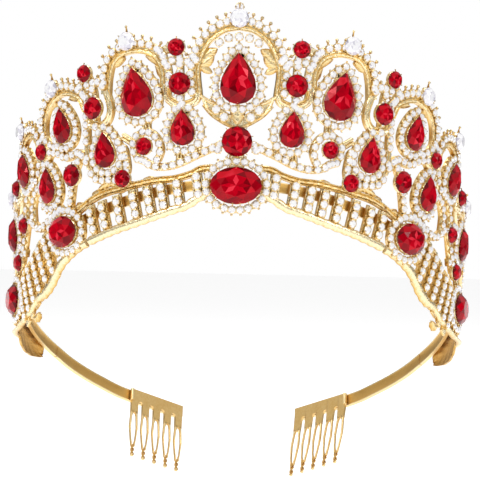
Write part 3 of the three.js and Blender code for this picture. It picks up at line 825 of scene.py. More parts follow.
@dataclass(frozen=True)
class MetalFinish:
    """A plated metal: painted shade in its recesses, painted highlights on its ridges, with fine unevenness.

    Attributes:
        name: Material name.
        recess_shade: Colour painted as shade at the bottom of the relief.
        body: Colour of the plating.
        ridge_highlight: Colour painted as highlight on the ridges.
        roughness: Roughness of the body.
        grain: Size of its bumps, mm.
        bump: Height of its bumps, mm.
    """

    name: str
    recess_shade: Colour
    body: Colour
    ridge_highlight: Colour
    roughness: float
    grain: float
    bump: float

    def make(self) -> bpy.types.Material:
        """Build the material.

        The tone is the depth attribute, moved a little by fine and by broad noise. Colour follows it, with painted
        shade in the recesses and painted highlight on the ridges, and recesses are rougher than ridges.

        Returns:
            The material.
        """
        g = MaterialGraph(self.name)
        fine = g.noise(1 / (self.grain * MM))
        cloud = g.noise(CLOUD_SCALE)
        depth = (g.attribute("depth") + 0.35 * (fine - 0.5) + 0.3 * (cloud - 0.5)).limited()
        # painted shade at the low end of the ramp, painted highlight at the high end
        colour = g.ramp(depth, ((0.0, self.recess_shade), (0.5, self.body), (0.95, self.ridge_highlight)))
        roughness = self.roughness + 0.16 * (1 - depth) + 0.1 * (fine - 0.5)
        g.dress({"Base Color": colour, "Metallic": 1.0, "Roughness": roughness})
        g.bump(fine, self.bump * MM)
        return g.material


@dataclass(frozen=True)
class StoneFinish:
    """A foiled glass stone: each facet has its own painted tone, from painted shade in its deep colour to a painted
    flash of reflected light.

    Attributes:
        name: Material name.
        stops: Colours along the tone, from painted shade to painted reflection.
        metallic: Share of mirror-like reflection from the foil.
        shine: Strength of the reflection from the glass.
    """

    name: str
    stops: tuple[tuple[float, Colour], ...]
    metallic: float
    shine: float

    def make(self) -> bpy.types.Material:
        """Build the material.

        The tone is the facet's own painted light and shade, moved a little by noise. Colour follows it, and dark
        facets are rougher.

        Returns:
            The material.
        """
        g = MaterialGraph(self.name)
        tone = (g.attribute("tone") + 0.22 * (g.noise(FACET_SCALE, 0.0) - 0.5)).limited()
        g.dress({"Base Color": g.ramp(tone, self.stops), "Metallic": self.metallic,
                 "Roughness": 0.05 + 0.08 * (1 - tone), "Specular IOR Level": self.shine})
        return g.material


# each finish: painted shade colour for recesses, plating colour, painted highlight colour for ridges, roughness,
# grain, bump
GOLD = MetalFinish("cast_gold_plate", (0.44, 0.22, 0.03), (0.80, 0.54, 0.19), (0.98, 0.84, 0.54), 0.25, 0.4, 0.09)
SATIN = MetalFinish("satin_gold_strip", (0.56, 0.30, 0.06), (0.80, 0.50, 0.15), (0.98, 0.78, 0.42), 0.36, 0.3, 0.01)
BRASS = MetalFinish("pressed_comb_brass", (0.42, 0.22, 0.04), (0.78, 0.50, 0.17), (0.95, 0.74, 0.38), 0.32, 0.7, 0.01)
# stone colours run from painted shade to painted reflection along each facet's tone
RUBY = StoneFinish("ruby_glass_foiled", ((0.0, (0.06, 0.0, 0.002)), (0.35, (0.20, 0.0, 0.004)),
                                         (0.8, (0.62, 0.0, 0.012)), (1.0, (0.90, 0.04, 0.07))), 0.1, 0.2)
CLEAR = StoneFinish("clear_glass_foiled", ((0.0, (0.10, 0.09, 0.13)), (0.25, (0.62, 0.60, 0.70)),
                                           (0.5, (0.97, 0.96, 1.0)), (1.0, (1.0, 1.0, 1.0))), 0.08, 0.8)


# ---- Set stones ----------------------------------------


class Cut(Enum):
    """Outline of a set stone."""

    ROUND = "round"
    OVAL = "oval"
    PEAR = "pear"


PEAR_WIDEST = 0.7698  # largest value of sin(t) sin(t/2)
STONE_BACK = 1.6  # depth of the large stones' backs on the wall, mm
GIRDLE_LIP = 0.3  # how far a large stone's girdle stands over its outline, mm
GIRDLE_HEIGHT = 0.25  # height of its upper edge, as a share of the stone's


@dataclass(frozen=True)
class Gem:
    """One large stone.

    Attributes:
        node: The CAD node it stands for.
        cut: Its outline.
        width: Its width, mm.
        height: Its height, mm.
        lean: Turn of its top towards +u, degrees.
    """

    node: str
    cut: Cut
    width: float
    height: float
    lean: float = 0.0

    @property
    def depth(self) -> float:
        """Height of the table above the stone's back, mm."""
        return 0.9 + 0.16 * min(self.width, self.height)

    @property
    def place(self) -> Point:
        """Place of the stone, from the mean of its node's corners.

        Returns:
            Turn round the wall, radians, and height on the pattern, mm.
        """
        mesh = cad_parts[self.node].data
        corners = np.empty(len(mesh.vertices) * 3)
        mesh.vertices.foreach_get("co", corners)
        x, y, z = np.unique(corners.reshape(-1, 3).round(6), axis=0).mean(axis=0) / MM
        return math.atan2(x, -y), z - WALL.base

    def outline(self, t: Array) -> Array:
        """Girdle outline, mm.

        A round or oval is (sin t, cos t) times the half sizes. A pear is sin t sin(t/2), scaled to the half
        width, by cos t, so that its tip is at t = 0.
        """
        across = np.sin(t) * (np.sin(t / 2) / PEAR_WIDEST if self.cut is Cut.PEAR else 1.0)
        return np.stack([across * self.width / 2, np.cos(t) * self.height / 2], axis=1)

    def edge(self, margin: float, spacing: float = 0.45) -> Line:
        """A closed line round the stone, in true sizes about its own turn.

        Args:
            margin: Distance outside its outline, mm.
            spacing: Distance between samples, mm.

        Returns:
            The line, whose left is outside.
        """
        local = self.outline(np.linspace(0, 2 * np.pi, 240))
        lean = math.radians(self.lean)
        turned = np.stack([local[:, 0] * math.cos(lean) + local[:, 1] * math.sin(lean),
                           -local[:, 0] * math.sin(lean) + local[:, 1] * math.cos(lean)], axis=1)
        line = Line.evenly(turned + [0, self.place[1]], spacing, closed=True).moved(margin)
        closed = np.vstack([line.points, line.points[:1]])
        return Line.evenly(closed, spacing, closed=True)

    def fill(self, bag: Bag, vary: np.random.Generator) -> None:
        """Add the cut stone.

        Rings of the outline at scales 0.95, 1, 0.81 and 0.58 give its back, girdle, star corners and table;
        the facets between them are triangles and kites. Each facet's tone is painted light: back and girdle are
        painted dark, the kites lighter on one side, and the table is divided into flat wedges and fans, each
        painted with the reflection of what shows through it.

        Args:
            bag: Mesh to add to.
            vary: Source of the facets' tones.
        """
        n = 8
        full = 2 * np.pi * np.arange(2 * n) / (2 * n)
        even, odd = full[::2], full[1::2]
        rings = ((full, 0.95, 0.0), (full, 1.0, GIRDLE_HEIGHT), (odd, 0.81, 0.7), (even, 0.58, 1.0), (odd, 0.3, 1.0),
                 (even[:1], 0.0, 1.0))
        grow = 1 + 2 * GIRDLE_LIP / min(self.width, self.height)
        local = np.vstack([np.column_stack([self.outline(t) * scale * grow, np.full(len(t), h * self.depth)])
                           for t, scale, h in rings])
        back, girdle, star, table, inner, hub = 0, 16, 32, 40, 48, 56
        k = np.arange(n)
        after, before = (k + 1) % n, (k - 1) % n
        upper = np.vstack([np.stack([star + k, girdle + 2 * k, girdle + 2 * k + 1], axis=1),
                           np.stack([star + k, girdle + 2 * k + 1, girdle + (2 * k + 2) % (2 * n)], axis=1)])
        kites = np.stack([table + k, star + before, girdle + 2 * k, star + k], axis=1)
        stars = np.stack([table + k, table + after, star + k], axis=1)
        wedges = np.stack([table + k, table + after, inner + k], axis=1)
        fans = np.stack([inner + before, table + k, inner + k, np.full(n, hub)], axis=1)
        # painted light: kites lighter on one side, table wedges and fans painted as reflections seen through the table
        lit_side = 0.5 + 0.5 * np.cos(even + 0.7)
        tones = [0.2 + 0.1 * vary.random(2 * n), np.concatenate([0.12 + 0.5 * vary.random(n),
                                                                  0.1 + 0.45 * vary.random(n)]),
                 0.25 + 0.35 * lit_side + 0.25 * vary.random(n), 0.3 + 0.6 * vary.random(n),
                 0.25 + 0.55 * vary.random(n), 0.35 + 0.65 * vary.random(n), np.array([0.1])]
        faces = [band(back, girdle, 2 * n), upper, kites, stars, wedges, fans, np.arange(2 * n)[None, ::-1]]
        bag.add(WALL.stand(local, self.place, math.radians(self.lean), STONE_BACK), faces, tones)

    def dress(self, ruby: bpy.types.Material, clear: bpy.types.Material) -> bpy.types.Object:
        """Build the stone's piece, which stands for its CAD node.

        Args:
            ruby: Finish of a red stone.
            clear: Finish of a clear one.

        Returns:
            The piece.
        """
        bag = Bag()
        seed = sum(ord(letter) * (i + 3) for i, letter in enumerate(self.node))
        self.fill(bag, np.random.default_rng(seed))
        is_ruby = self.node.startswith("ruby")
        piece = bag.piece(f"{self.node}_cut", ruby if is_ruby else clear)
        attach(piece, "crown")
        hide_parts(self.node)
        return piece


def pair(stem: str, cut: Cut, width: float, height: float, lean: float = 0.0) -> list[Gem]:
    """The two stones of a mirrored pair."""
    return [Gem(f"{stem}_right", cut, width, height, lean), Gem(f"{stem}_left", cut, width, height, -lean)]


GEMS: list[Gem] = [
    Gem("ruby_oval_centre", Cut.OVAL, 14.5, 10.4), Gem("ruby_round_centre", Cut.ROUND, 8.4, 8.4),
    Gem("ruby_pear_centre", Cut.PEAR, 10, 14.4), Gem("crystal_peak_centre", Cut.ROUND, 5, 5),
    *pair("ruby_round_valley_1", Cut.ROUND, 4.7, 4.7), *pair("ruby_round_loop_1", Cut.ROUND, 6.2, 6.2),
    *pair("ruby_pear_low_1", Cut.PEAR, 7, 10, 4), *pair("ruby_round_swirl", Cut.ROUND, 4.7, 4.7),
    *pair("ruby_pear_arch_1", Cut.PEAR, 10, 14, 12), *pair("ruby_round_leaf", Cut.ROUND, 4.8, 4.8),
    *pair("ruby_pear_low_2", Cut.PEAR, 7, 10, 8), *pair("ruby_round_loop_2", Cut.ROUND, 6.2, 6.2),
    *pair("ruby_round_valley_2", Cut.ROUND, 4.7, 4.7), *pair("ruby_pear_arch_2", Cut.PEAR, 7, 10, 14),
    *pair("ruby_round_column", Cut.ROUND, 6.2, 6.2), *pair("ruby_round_loop_3", Cut.ROUND, 4.7, 4.7),
    *pair("ruby_pear_low_3", Cut.PEAR, 7, 10, 10), *pair("ruby_oval_side", Cut.OVAL, 12, 9, 6),
    *pair("ruby_pear_arch_3", Cut.PEAR, 7, 10, 22), *pair("ruby_round_loop_4", Cut.ROUND, 4.7, 4.7),
    *pair("ruby_round_scroll", Cut.ROUND, 4.7, 4.7), *pair("ruby_pear_low_4", Cut.PEAR, 7, 10, 18),
    *pair("ruby_round_end", Cut.ROUND, 4.7, 4.7), *pair("ruby_oval_end", Cut.OVAL, 12, 9, 10),
    *pair("crystal_peak_1", Cut.ROUND, 5, 5), *pair("crystal_peak_2", Cut.ROUND, 5, 5),
    *pair("crystal_peak_3", Cut.ROUND, 5, 5), *pair("crystal_peak_4", Cut.ROUND, 5, 5),
]


# ---- Castings ----------------------------------------


JOINT_GAP = 0.15  # distance of a casting's bars from the joint between two castings, mm


@dataclass
class Casting:
    """One of the three castings of the wall, with its small stones.

    Attributes:
        node: The CAD node it stands for.
        sides: Halves of the pattern it takes part in: 1 right, -1 left.
        middle: Whether it lies between the two casting joints.
        cup_depth: Depth of the small stones' backs, mm.
        arch_pitch: Distance between the stones of an arch, mm.
        stem_pitch: Distance between the stones of a stem, a branch or a rib, mm.
        stone: Size of a small stone, mm.
        spur: Size of the spurs outside an arch, mm.
        arch_rail: Shift of an arch's rail from its line to the left, mm.
        arch_bed: Shift of its bed, mm.
        arch_stones: Shift of its stones, mm.
        arch_ends: Where its stones begin and end, as shares of the line.
        last_end: Where they end on the last arch.
        scroll_rail: Shift of the two bars of a branch, mm.
        rib: Length of a rib at the front, mm.
        side_rib: Length of a rib at the side, mm.
        collar: Distance of a collar's middle line from its stone, mm.
        hooks: Distance of the hooks' roots from it, mm.
        hook_pitch: Distance between the hooks of a round stone and of another, mm.
        halo: Distance of a halo's middle line from its stone, mm.
        halo_pitch: Distance between the stones of a halo, mm.
        metal: Mesh of its bars.
        seats: Mesh of its cups and claws.
        sparks: Mesh of its small stones.
        vary: Source of the small stones' turns and tones.
    """

    node: str
    sides: tuple[int, ...]
    middle: bool
    cup_depth: float = 1.0
    arch_pitch: float = 2.5
    stem_pitch: float = 2.6
    stone: float = 2.3
    spur: float = 2.2
    arch_rail: float = -1.15
    arch_bed: float = 0.75
    arch_stones: float = 1.15
    arch_ends: Point = (0.03, 0.94)
    last_end: float = 0.72
    scroll_rail: float = 0.62
    rib: float = 9.4
    side_rib: float = 16.0
    collar: float = 0.12
    hooks: float = 0.85
    hook_pitch: Point = (2.6, 2.3)
    halo: float = 1.95
    halo_pitch: float = 2.42
    metal: Bag = field(default_factory=Bag)
    seats: Bag = field(default_factory=Bag)
    sparks: Bag = field(default_factory=Bag)
    vary: np.random.Generator = field(default_factory=lambda: np.random.default_rng(41))

    def keeps(self, points: Array) -> Array:
        """Whether points belong to this casting.

        Args:
            points: Rows of (u, z) on the pattern's right half, mm.

        Returns:
            One truth value for each.
        """
        joint = np.array(CASTING_JOINT)[::-1]
        cut = np.interp(points[:, 1], joint[:, 1], joint[:, 0])
        return (points[:, 0] < cut - JOINT_GAP) if self.middle else (points[:, 0] > cut + JOINT_GAP)

    def turn_to(self, side: int) -> None:
        """Send what follows to one half of the wall."""
        self.metal.side = self.seats.side = self.sparks.side = side

    def bar(self, line: Line, section: Section, width: Array | float = 1.0) -> None:
        """Add the stretches of an open bar that this casting keeps.

        Args:
            line: Middle line of the bar.
            section: Its cross-section.
            width: Factor on the half width, for all or for each sample of the line.
        """
        keep = self.keeps(line.points)
        edges = np.flatnonzero(np.diff(np.concatenate([[0], keep.astype(int), [0]])))
        wide = np.broadcast_to(width, len(line.points))
        for first, last in edges.reshape(-1, 2):
            if last - first > 2:
                cut = slice(first, last)
                bar(self.metal, Line(line.points[cut], line.along[cut], line.run[cut]), section, wide[cut])

    def press_stones(self, at: Array, size: float) -> None:
        """Add cups, prongs and small stones, whatever casting their points lie on.

        Args:
            at: Their places, mm.
            size: Size of a stone, mm.
        """
        places = np.column_stack([at, np.full(len(at), self.cup_depth), np.full(len(at), size),
                                  self.vary.uniform(0, 6, len(at))])
        CUP.press(self.seats, places)
        PRONGS.press(self.seats, places)
        CHATON.press(self.sparks, places, self.vary)

    def stones(self, at: Array, size: float) -> None:
        """Set small stones in cups at the points that this casting keeps.

        Args:
            at: Places on the pattern's right half, mm.
            size: Size of a stone, mm.
        """
        at = np.asarray(at, float).reshape(-1, 2)
        at = at[self.keeps(at)]
        if len(at):
            self.press_stones(at, size)

    def plant(self, at: Array, out: Array, size: float, depth: float) -> None:
        """Add spurs with ball tips, whatever casting their points lie on.

        Args:
            at: Their roots, mm.
            out: Unit directions that they point along.
            size: Their size, mm.
            depth: Depth of their middles on the wall, mm.
        """
        turn = np.arctan2(-out[:, 0], out[:, 1])
        CLAW.press(self.seats, np.column_stack([at, np.full(len(at), depth), np.full(len(at), size), turn]))

    def row(self, line: Line, pitch: float, size: float, spurs: float = 0.0,
            ends: tuple[float, float] = (0.0, 1.0)) -> None:
        """Set a row of small stones along a line.

        Args:
            line: The line.
            pitch: Distance between stones, mm.
            size: Size of a stone, mm.
            spurs: Size of the spurs on the line's left, mm, or 0 for none.
            ends: Where the row begins and ends, as shares of the line.
        """
        length = line.run[-1] * (ends[1] - ends[0])
        count = max(2, round(length / pitch) + 1)
        at = np.interp(np.linspace(*ends, count) * line.run[-1], line.run, np.arange(len(line.run)))
        at = at.round().astype(int)
        self.stones(line.points[at], size)
        kept = at[self.keeps(line.points[at])]
        if spurs and len(kept):
            self.plant(line.points[kept], line.across[kept], spurs, self.cup_depth)

    def arches(self) -> None:
        """Arches: a polished inner rail, a bed outside it, and a row of clawed stones on the bed."""
        for knots in (CENTRE_ARCH[::-1], *SIDE_ARCHES):
            line = Line.through(knots)
            self.bar(line.moved(self.arch_rail), RAIL, 0.78)
            self.bar(line.moved(self.arch_bed), BED)
            ends = (self.arch_ends[0], self.last_end) if knots is SIDE_ARCHES[-1] else self.arch_ends
            self.row(line.moved(self.arch_stones), self.arch_pitch, self.stone, self.spur, ends)

    def shoulders(self) -> None:
        """Leaf fans that run inside each arch from its rail towards the pear's tip."""
        for root, bend_at, tip, half in SHOULDER_LEAVES:
            line = Line.through([root, bend_at, tip])
            if self.keeps(line.points).all():
                leaf(self.metal, [root, bend_at, tip], half)

    def loops(self) -> None:
        """Loops between arches, of twisted rope, and the bars and branches round them."""
        for knots in LOOPS:
            line = Line.through(knots)
            self.bar(line, FOOT, 0.86)
            self.bar(line.moved(1.25), WIRE)
        for knots in GEM_STEMS:
            line = Line.through(knots)
            self.bar(line, STEM)
            self.row(line, self.stem_pitch, self.stone)
        for i, knots in enumerate(BRANCHES):
            line = Line.through(knots)
            for side in (self.scroll_rail, -self.scroll_rail):
                self.bar(line.moved(side), SCROLL, 0.9)
            if i in BRANCHES_WITH_STONES:
                self.row(line, self.stem_pitch, self.stone - 0.1)

    def gallery(self) -> None:
        """The two rails of the gallery and the stone-set ribs between them.

        The lower rail swells as a bell curve at the side and as a small sine wave all along, and thins to its end.
        """
        for knots in (UPPER_RAIL, SIDE_UPPER_RAIL):
            line = Line.through(knots)
            self.bar(line, RAIL, 0.55)
            for side in (-0.8, 0.8):
                self.bar(line.moved(side), SCROLL, 0.5)
        lower = Line.through(LOWER_RAIL).moved(0.35)
        (at, length, share), (pitch, scallop), (gone, taper, least) = RAIL_SWELL, RAIL_SCALLOPS, RAIL_TAPER
        swell = 1 + share * np.exp(-((lower.points[:, 0] - at) / length) ** 2)
        swell *= 1 + scallop * np.sin(2 * np.pi * lower.run / pitch)
        end = np.clip((gone - lower.points[:, 0]) / taper, least, 1)
        self.bar(lower, FOOT_RAIL, swell * end)
        for at, lean in zip(RIBS, np.linspace(*RIB_LEAN, len(RIBS))):
            self.rib_bar(at, lean, self.rib, 3)
        for at in SIDE_RIBS:
            self.rib_bar(at, SIDE_RIB_LEAN, self.side_rib, 5)

    def rib_bar(self, at: Point, lean: float, length: float, count: int) -> None:
        """One rib: a bed between two fine bars, with stones about its middle.

        Args:
            at: Its middle, mm.
            lean: Lean of its top towards +u, degrees.
            length: Its length, mm.
            count: Number of its stones.
        """
        tilt = math.radians(lean)
        step = np.array([math.sin(tilt), math.cos(tilt)])
        line = Line.through([tuple(np.array(at) + step * s * length / 2) for s in (-1, 1)])
        self.bar(line, BED, 0.8)
        for side in (1.4, -1.4):
            self.bar(line.moved(side), FINE)
        shifts = (np.arange(count) - (count - 1) / 2)[:, None] * self.stem_pitch
        self.stones(np.array(at) + step * shifts, self.stone + 0.1)

    def leaves(self) -> None:
        """The large end leaf, and the small leaves along the gallery."""
        for knots, half, veins in LEAVES:
            if self.keeps(np.array(knots)).all():
                leaf(self.metal, knots, half, veins)

    def middle_line(self) -> None:
        """What lies on the middle line: stem, fork under the pear, and the stones on them."""
        self.bar(Line.through([(0, 8), (0, 26)]), STEM, 2.1)
        fork = Line.through([(-9.4, 28), (-6, 24.6), (0, 22), (6, 24.6), (9.4, 28)])
        self.bar(fork, BED, 1.3)
        self.bar(fork.moved(-1.5), RAIL, 0.5)
        self.stones([(-6.4, 25.7), (-4, 23.5), (4, 23.5), (6.4, 25.7)], 2.6)
        self.stones([(-5.7, 14), (5.7, 14), (0, 55.8), (0, 47.1), (-3.1, 46.7), (3.1, 46.7), (-5.9, 45.3),
                     (5.9, 45.3)], 2.4)
        for side in (1, -1):
            self.bar(Line.through([(side * 12.6, 30.4), (side * 9.4, 28.4), (side * 6.4, 27.2)]), SCROLL)
            self.bar(Line.through([(side * 10.5, 28.8), (side * 9.1, 25.8), (side * 6.8, 24)]), SCROLL)
        self.bar(Line.through([(0, 49), (0, 57)]), STEM, 0.8)
        leaf(self.metal, [(0, 21.5), (0, 25), (0, 27.6)], 1.9, 4, 3.0)

    def settings(self) -> None:
        """Collars, claws and halos of the large stones."""
        for gem in GEMS:
            turn, z = gem.place
            side = 1 if turn >= 0 else -1
            if side in self.sides and self.keeps(np.array([[abs(WALL.pattern(turn)), z]]))[0]:
                self.metal.about = self.seats.about = self.sparks.about = turn
                self.set_gem(gem)

    def set_gem(self, gem: Gem) -> None:
        """Add the setting of one stone, in true sizes about its turn.

        A collar goes round the stone and a seat under it, and hooks lean over its edge. A crystal has one bead
        at its top. An oval or a pear has a halo: a bar with small stones, each with a spur outside.

        Args:
            gem: The stone.
        """
        size = min(gem.width, gem.height)
        top = STONE_BACK - WALL.back + GIRDLE_HEIGHT * gem.depth
        girdle = STONE_BACK + GIRDLE_HEIGHT * gem.depth
        self.frame_bar(gem.edge(self.collar), Section((-1, -0.5, 0.5, 1), (top - 0.5, top - 0.3, top - 0.4, top - 0.9),
                                                      0.22, base=top - 1.1))
        self.frame_bar(gem.edge(-size * 0.22), Section((-1, 1), (top - 1.0, top - 0.9), size * 0.24, base=top - 1.6))
        halo = gem.cut is not Cut.ROUND
        hooks = max(6, round(gem.edge(0).run[-1] / self.hook_pitch[halo]))
        points, out = self.spread(gem.edge(self.hooks), hooks)
        self.plant(points, -out, 1.0, girdle + 0.1)
        if gem.node.startswith("crystal"):
            self.plant(*self.spread(gem.edge(0.1), 1), 1.7, girdle)
        if not halo:
            return
        self.frame_bar(gem.edge(self.halo), Section((-1, -0.85, 0.85, 1), (1.3, 1.75, 1.75, 1.2), 0.95))
        ring_line = gem.edge(self.halo, 0.3)
        points, out = self.spread(ring_line, round((ring_line.run[-1] + 0.3) / self.halo_pitch))
        self.press_stones(points, 2.25)
        self.plant(points, out, 1.5, self.cup_depth)

    def spread(self, line: Line, count: int) -> tuple[Array, Array]:
        """Even places round a closed line, and the directions to its outside."""
        at = (np.arange(count) * len(line.points) / count).astype(int)
        return line.points[at], line.across[at]

    def frame_bar(self, line: Line, section: Section) -> None:
        """Add a closed bar round a stone."""
        bar(self.metal, line, section, closed=True)

    def build(self, gold: bpy.types.Material, clear: bpy.types.Material) -> list[bpy.types.Object]:
        """Build the casting.

        Args:
            gold: Finish of its metal.
            clear: Finish of its small stones.

        Returns:
            Its three pieces: bars, cups with claws, and small stones.
        """
        for side in self.sides:
            self.turn_to(side)
            self.arches()
            self.shoulders()
            self.loops()
            self.gallery()
            self.leaves()
        self.turn_to(1)
        if self.middle:
            self.middle_line()
        self.settings()
        made = [self.metal.piece(f"{self.node}_cast", gold, smooth=True),
                self.seats.piece(f"{self.node}_cups", gold, smooth=True),
                self.sparks.piece(f"{self.node}_small_stones", clear)]
        for piece, slot in zip(made, ("gold_casting", "gold_casting", "clear_glass")):
            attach(piece, "crown")
        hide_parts(self.node)
        return made


# ---- Headband and combs ----------------------------------------


@dataclass(frozen=True)
class Loop:
    """The tilted plane of the sprung strip.

    Attributes:
        tilt: Fall of the plane to the back, radians.
        route: Places of an arm's middle line, as degrees from the front and distance from the axis, mm.
    """

    tilt: float = math.atan(0.545)
    route: tuple[Point, ...] = ((118, 68), (125, 68.4), (132, 68.9), (139, 69.6), (146, 70.8),
                                (155.5, 72), (164.6, 75.1))

    def place(self, at: Point) -> Array:
        """A place on the plane, in its own x and y, mm."""
        angle = math.radians(at[0])
        return np.array([at[1] * math.sin(angle), -at[1] * math.cos(angle) / math.cos(self.tilt)])

    def raise_up(self, points: Array) -> Array:
        """Turn the plane's own axes into the frame's, by a turn of the tilt about x.

        Args:
            points: Rows of (x, y, z) of the plane, mm.

        Returns:
            Rows of (x, y, z), m.
        """
        x, y, z = points.T
        c, s = math.cos(self.tilt), math.sin(self.tilt)
        return MM * np.stack([x, y * c + z * s, -y * s + z * c], axis=1)


LOOP = Loop()


@dataclass
class Headband:
    """The sprung strip: one stretch soldered inside the wall, and two free arms.

    Attributes:
        width: Height of the strip, mm.
        thickness: Its thickness, mm.
        radius: Distance of its middle from the axis, mm.
        dip: How far it sags below the plane between the middle and the ends, mm.
        start: Angle where the arms begin, degrees.
        gap: Gap between the soldered stretch and an arm, mm.
        upright: Angle up to which the soldered stretch stands square to its own line, degrees.
        front_share: Height of the strip at the front, as a share of its full height.
    """

    width: float = 4.0
    thickness: float = 1.2
    radius: float = 68.0
    dip: float = 2.4
    start: float = 118.0
    gap: float = 0.3
    upright: float = 84.0
    front_share: float = 0.78

    def front(self, satin: bpy.types.Material) -> bpy.types.Object:
        """The soldered stretch.

        Its height is the plane's, less a squared sine that ends at the arms. Its width stands square to its own
        line, and turns over the last stretch to the plane's normal, so that it runs on into the arms.

        Args:
            satin: Finish.

        Returns:
            The piece.
        """
        end = math.radians(self.start) - self.gap / self.radius
        angle = np.linspace(-end, end, 301)
        sag = self.dip * np.sin(np.pi * angle / math.radians(self.start)) ** 2
        height = self.radius * math.tan(LOOP.tilt) * np.cos(angle) - sag
        middle = np.stack([self.radius * np.sin(angle), -self.radius * np.cos(angle), height], axis=1)
        along = np.gradient(middle, axis=0)
        along /= np.linalg.norm(along, axis=1, keepdims=True)
        outward = np.stack([np.sin(angle), -np.cos(angle), np.zeros_like(angle)], axis=1)
        late = np.clip((np.degrees(np.abs(angle)) - self.upright) / (self.start - self.upright), 0, 1)[:, None]
        late = late * late * (3 - 2 * late)
        normal = np.array([0, math.sin(LOOP.tilt), math.cos(LOOP.tilt)])
        wide = (1 - late) * np.cross(outward, along) * np.sign(np.cross(outward, along)[:, 2:3]) + late * normal
        wide -= (wide * along).sum(axis=1, keepdims=True) * along
        wide /= np.linalg.norm(wide, axis=1, keepdims=True)
        bag = Bag()
        share = self.front_share + (1 - self.front_share) * late[:, 0]
        self.ribbon(bag, MM * middle, wide, np.cross(along, wide), share)
        piece = bag.piece("headband_front_strip", satin, smooth=True)
        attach(piece, "crown")
        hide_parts("headband_front")
        return piece

    def ribbon(self, bag: Bag, middle: Array, wide: Array, thick: Array, share: Array | float = 1.0) -> None:
        """Carry the strip's section, a flat bar with raised edges, along a line.

        Args:
            bag: Mesh to add to.
            middle: Points of its middle line, m.
            wide: Unit directions of its width.
            thick: Unit directions of its thickness.
            share: Width as a share of the strip's.
        """
        corner = np.array([(-0.5, -1), (0.5, -1), (0.5, -0.9), (0.4, -0.76), (0.4, 0.76), (0.5, 0.9), (0.5, 1),
                           (-0.5, 1), (-0.5, 0.9), (-0.4, 0.76), (-0.4, -0.76), (-0.5, -0.9)])
        # depth attribute of the section's corners: raised edges painted as highlight, the flat middle painted in shade
        ridge_highlight = np.array([0.9, 0.9, 1, 0.4, 0.4, 1, 0.9, 0.9, 1, 0.4, 0.4, 1])
        n, m = len(middle), len(corner)
        half = np.broadcast_to(share, n)[:, None, None] * self.width / 2
        rows = middle[:, None, :] + MM * (thick[:, None, :] * (corner[:, :1] * self.thickness)[None]
                                          + wide[:, None, :] * half * corner[None, :, 1:])
        bag.add(rows.reshape(-1, 3), tube(n, m), depth=np.tile(ridge_highlight, n))

    def arm(self, side: int, satin: bpy.types.Material) -> bpy.types.Object:
        """One arm: the strip's rounded section carried along the route in the loop's plane.

        Args:
            side: 1 right, -1 left.
            satin: Finish.

        Returns:
            The arm.
        """
        name = "right" if side > 0 else "left"
        line = Line.through([tuple(LOOP.place(at)) for at in LOOP.route], 0.8)
        flip = np.array([side, 1, 1])
        flat = np.column_stack([line.points, np.zeros(len(line.points))]) * flip
        middle = LOOP.raise_up(flat)
        thick = LOOP.raise_up(np.column_stack([line.across, np.zeros(len(line.points))]) * flip) / MM
        wide = np.broadcast_to([0, math.sin(LOOP.tilt), math.cos(LOOP.tilt)], middle.shape)
        bag = Bag()
        self.ribbon(bag, middle, wide, thick)
        piece = bag.piece(f"headband_arm_{name}_strip", satin, smooth=True)
        ends = LOOP.raise_up(np.array([[*LOOP.place(at), 0] for at in LOOP.route]) * [side, 1, 1])
        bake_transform(piece)
        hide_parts(f"headband_arm_{name}")
        return piece


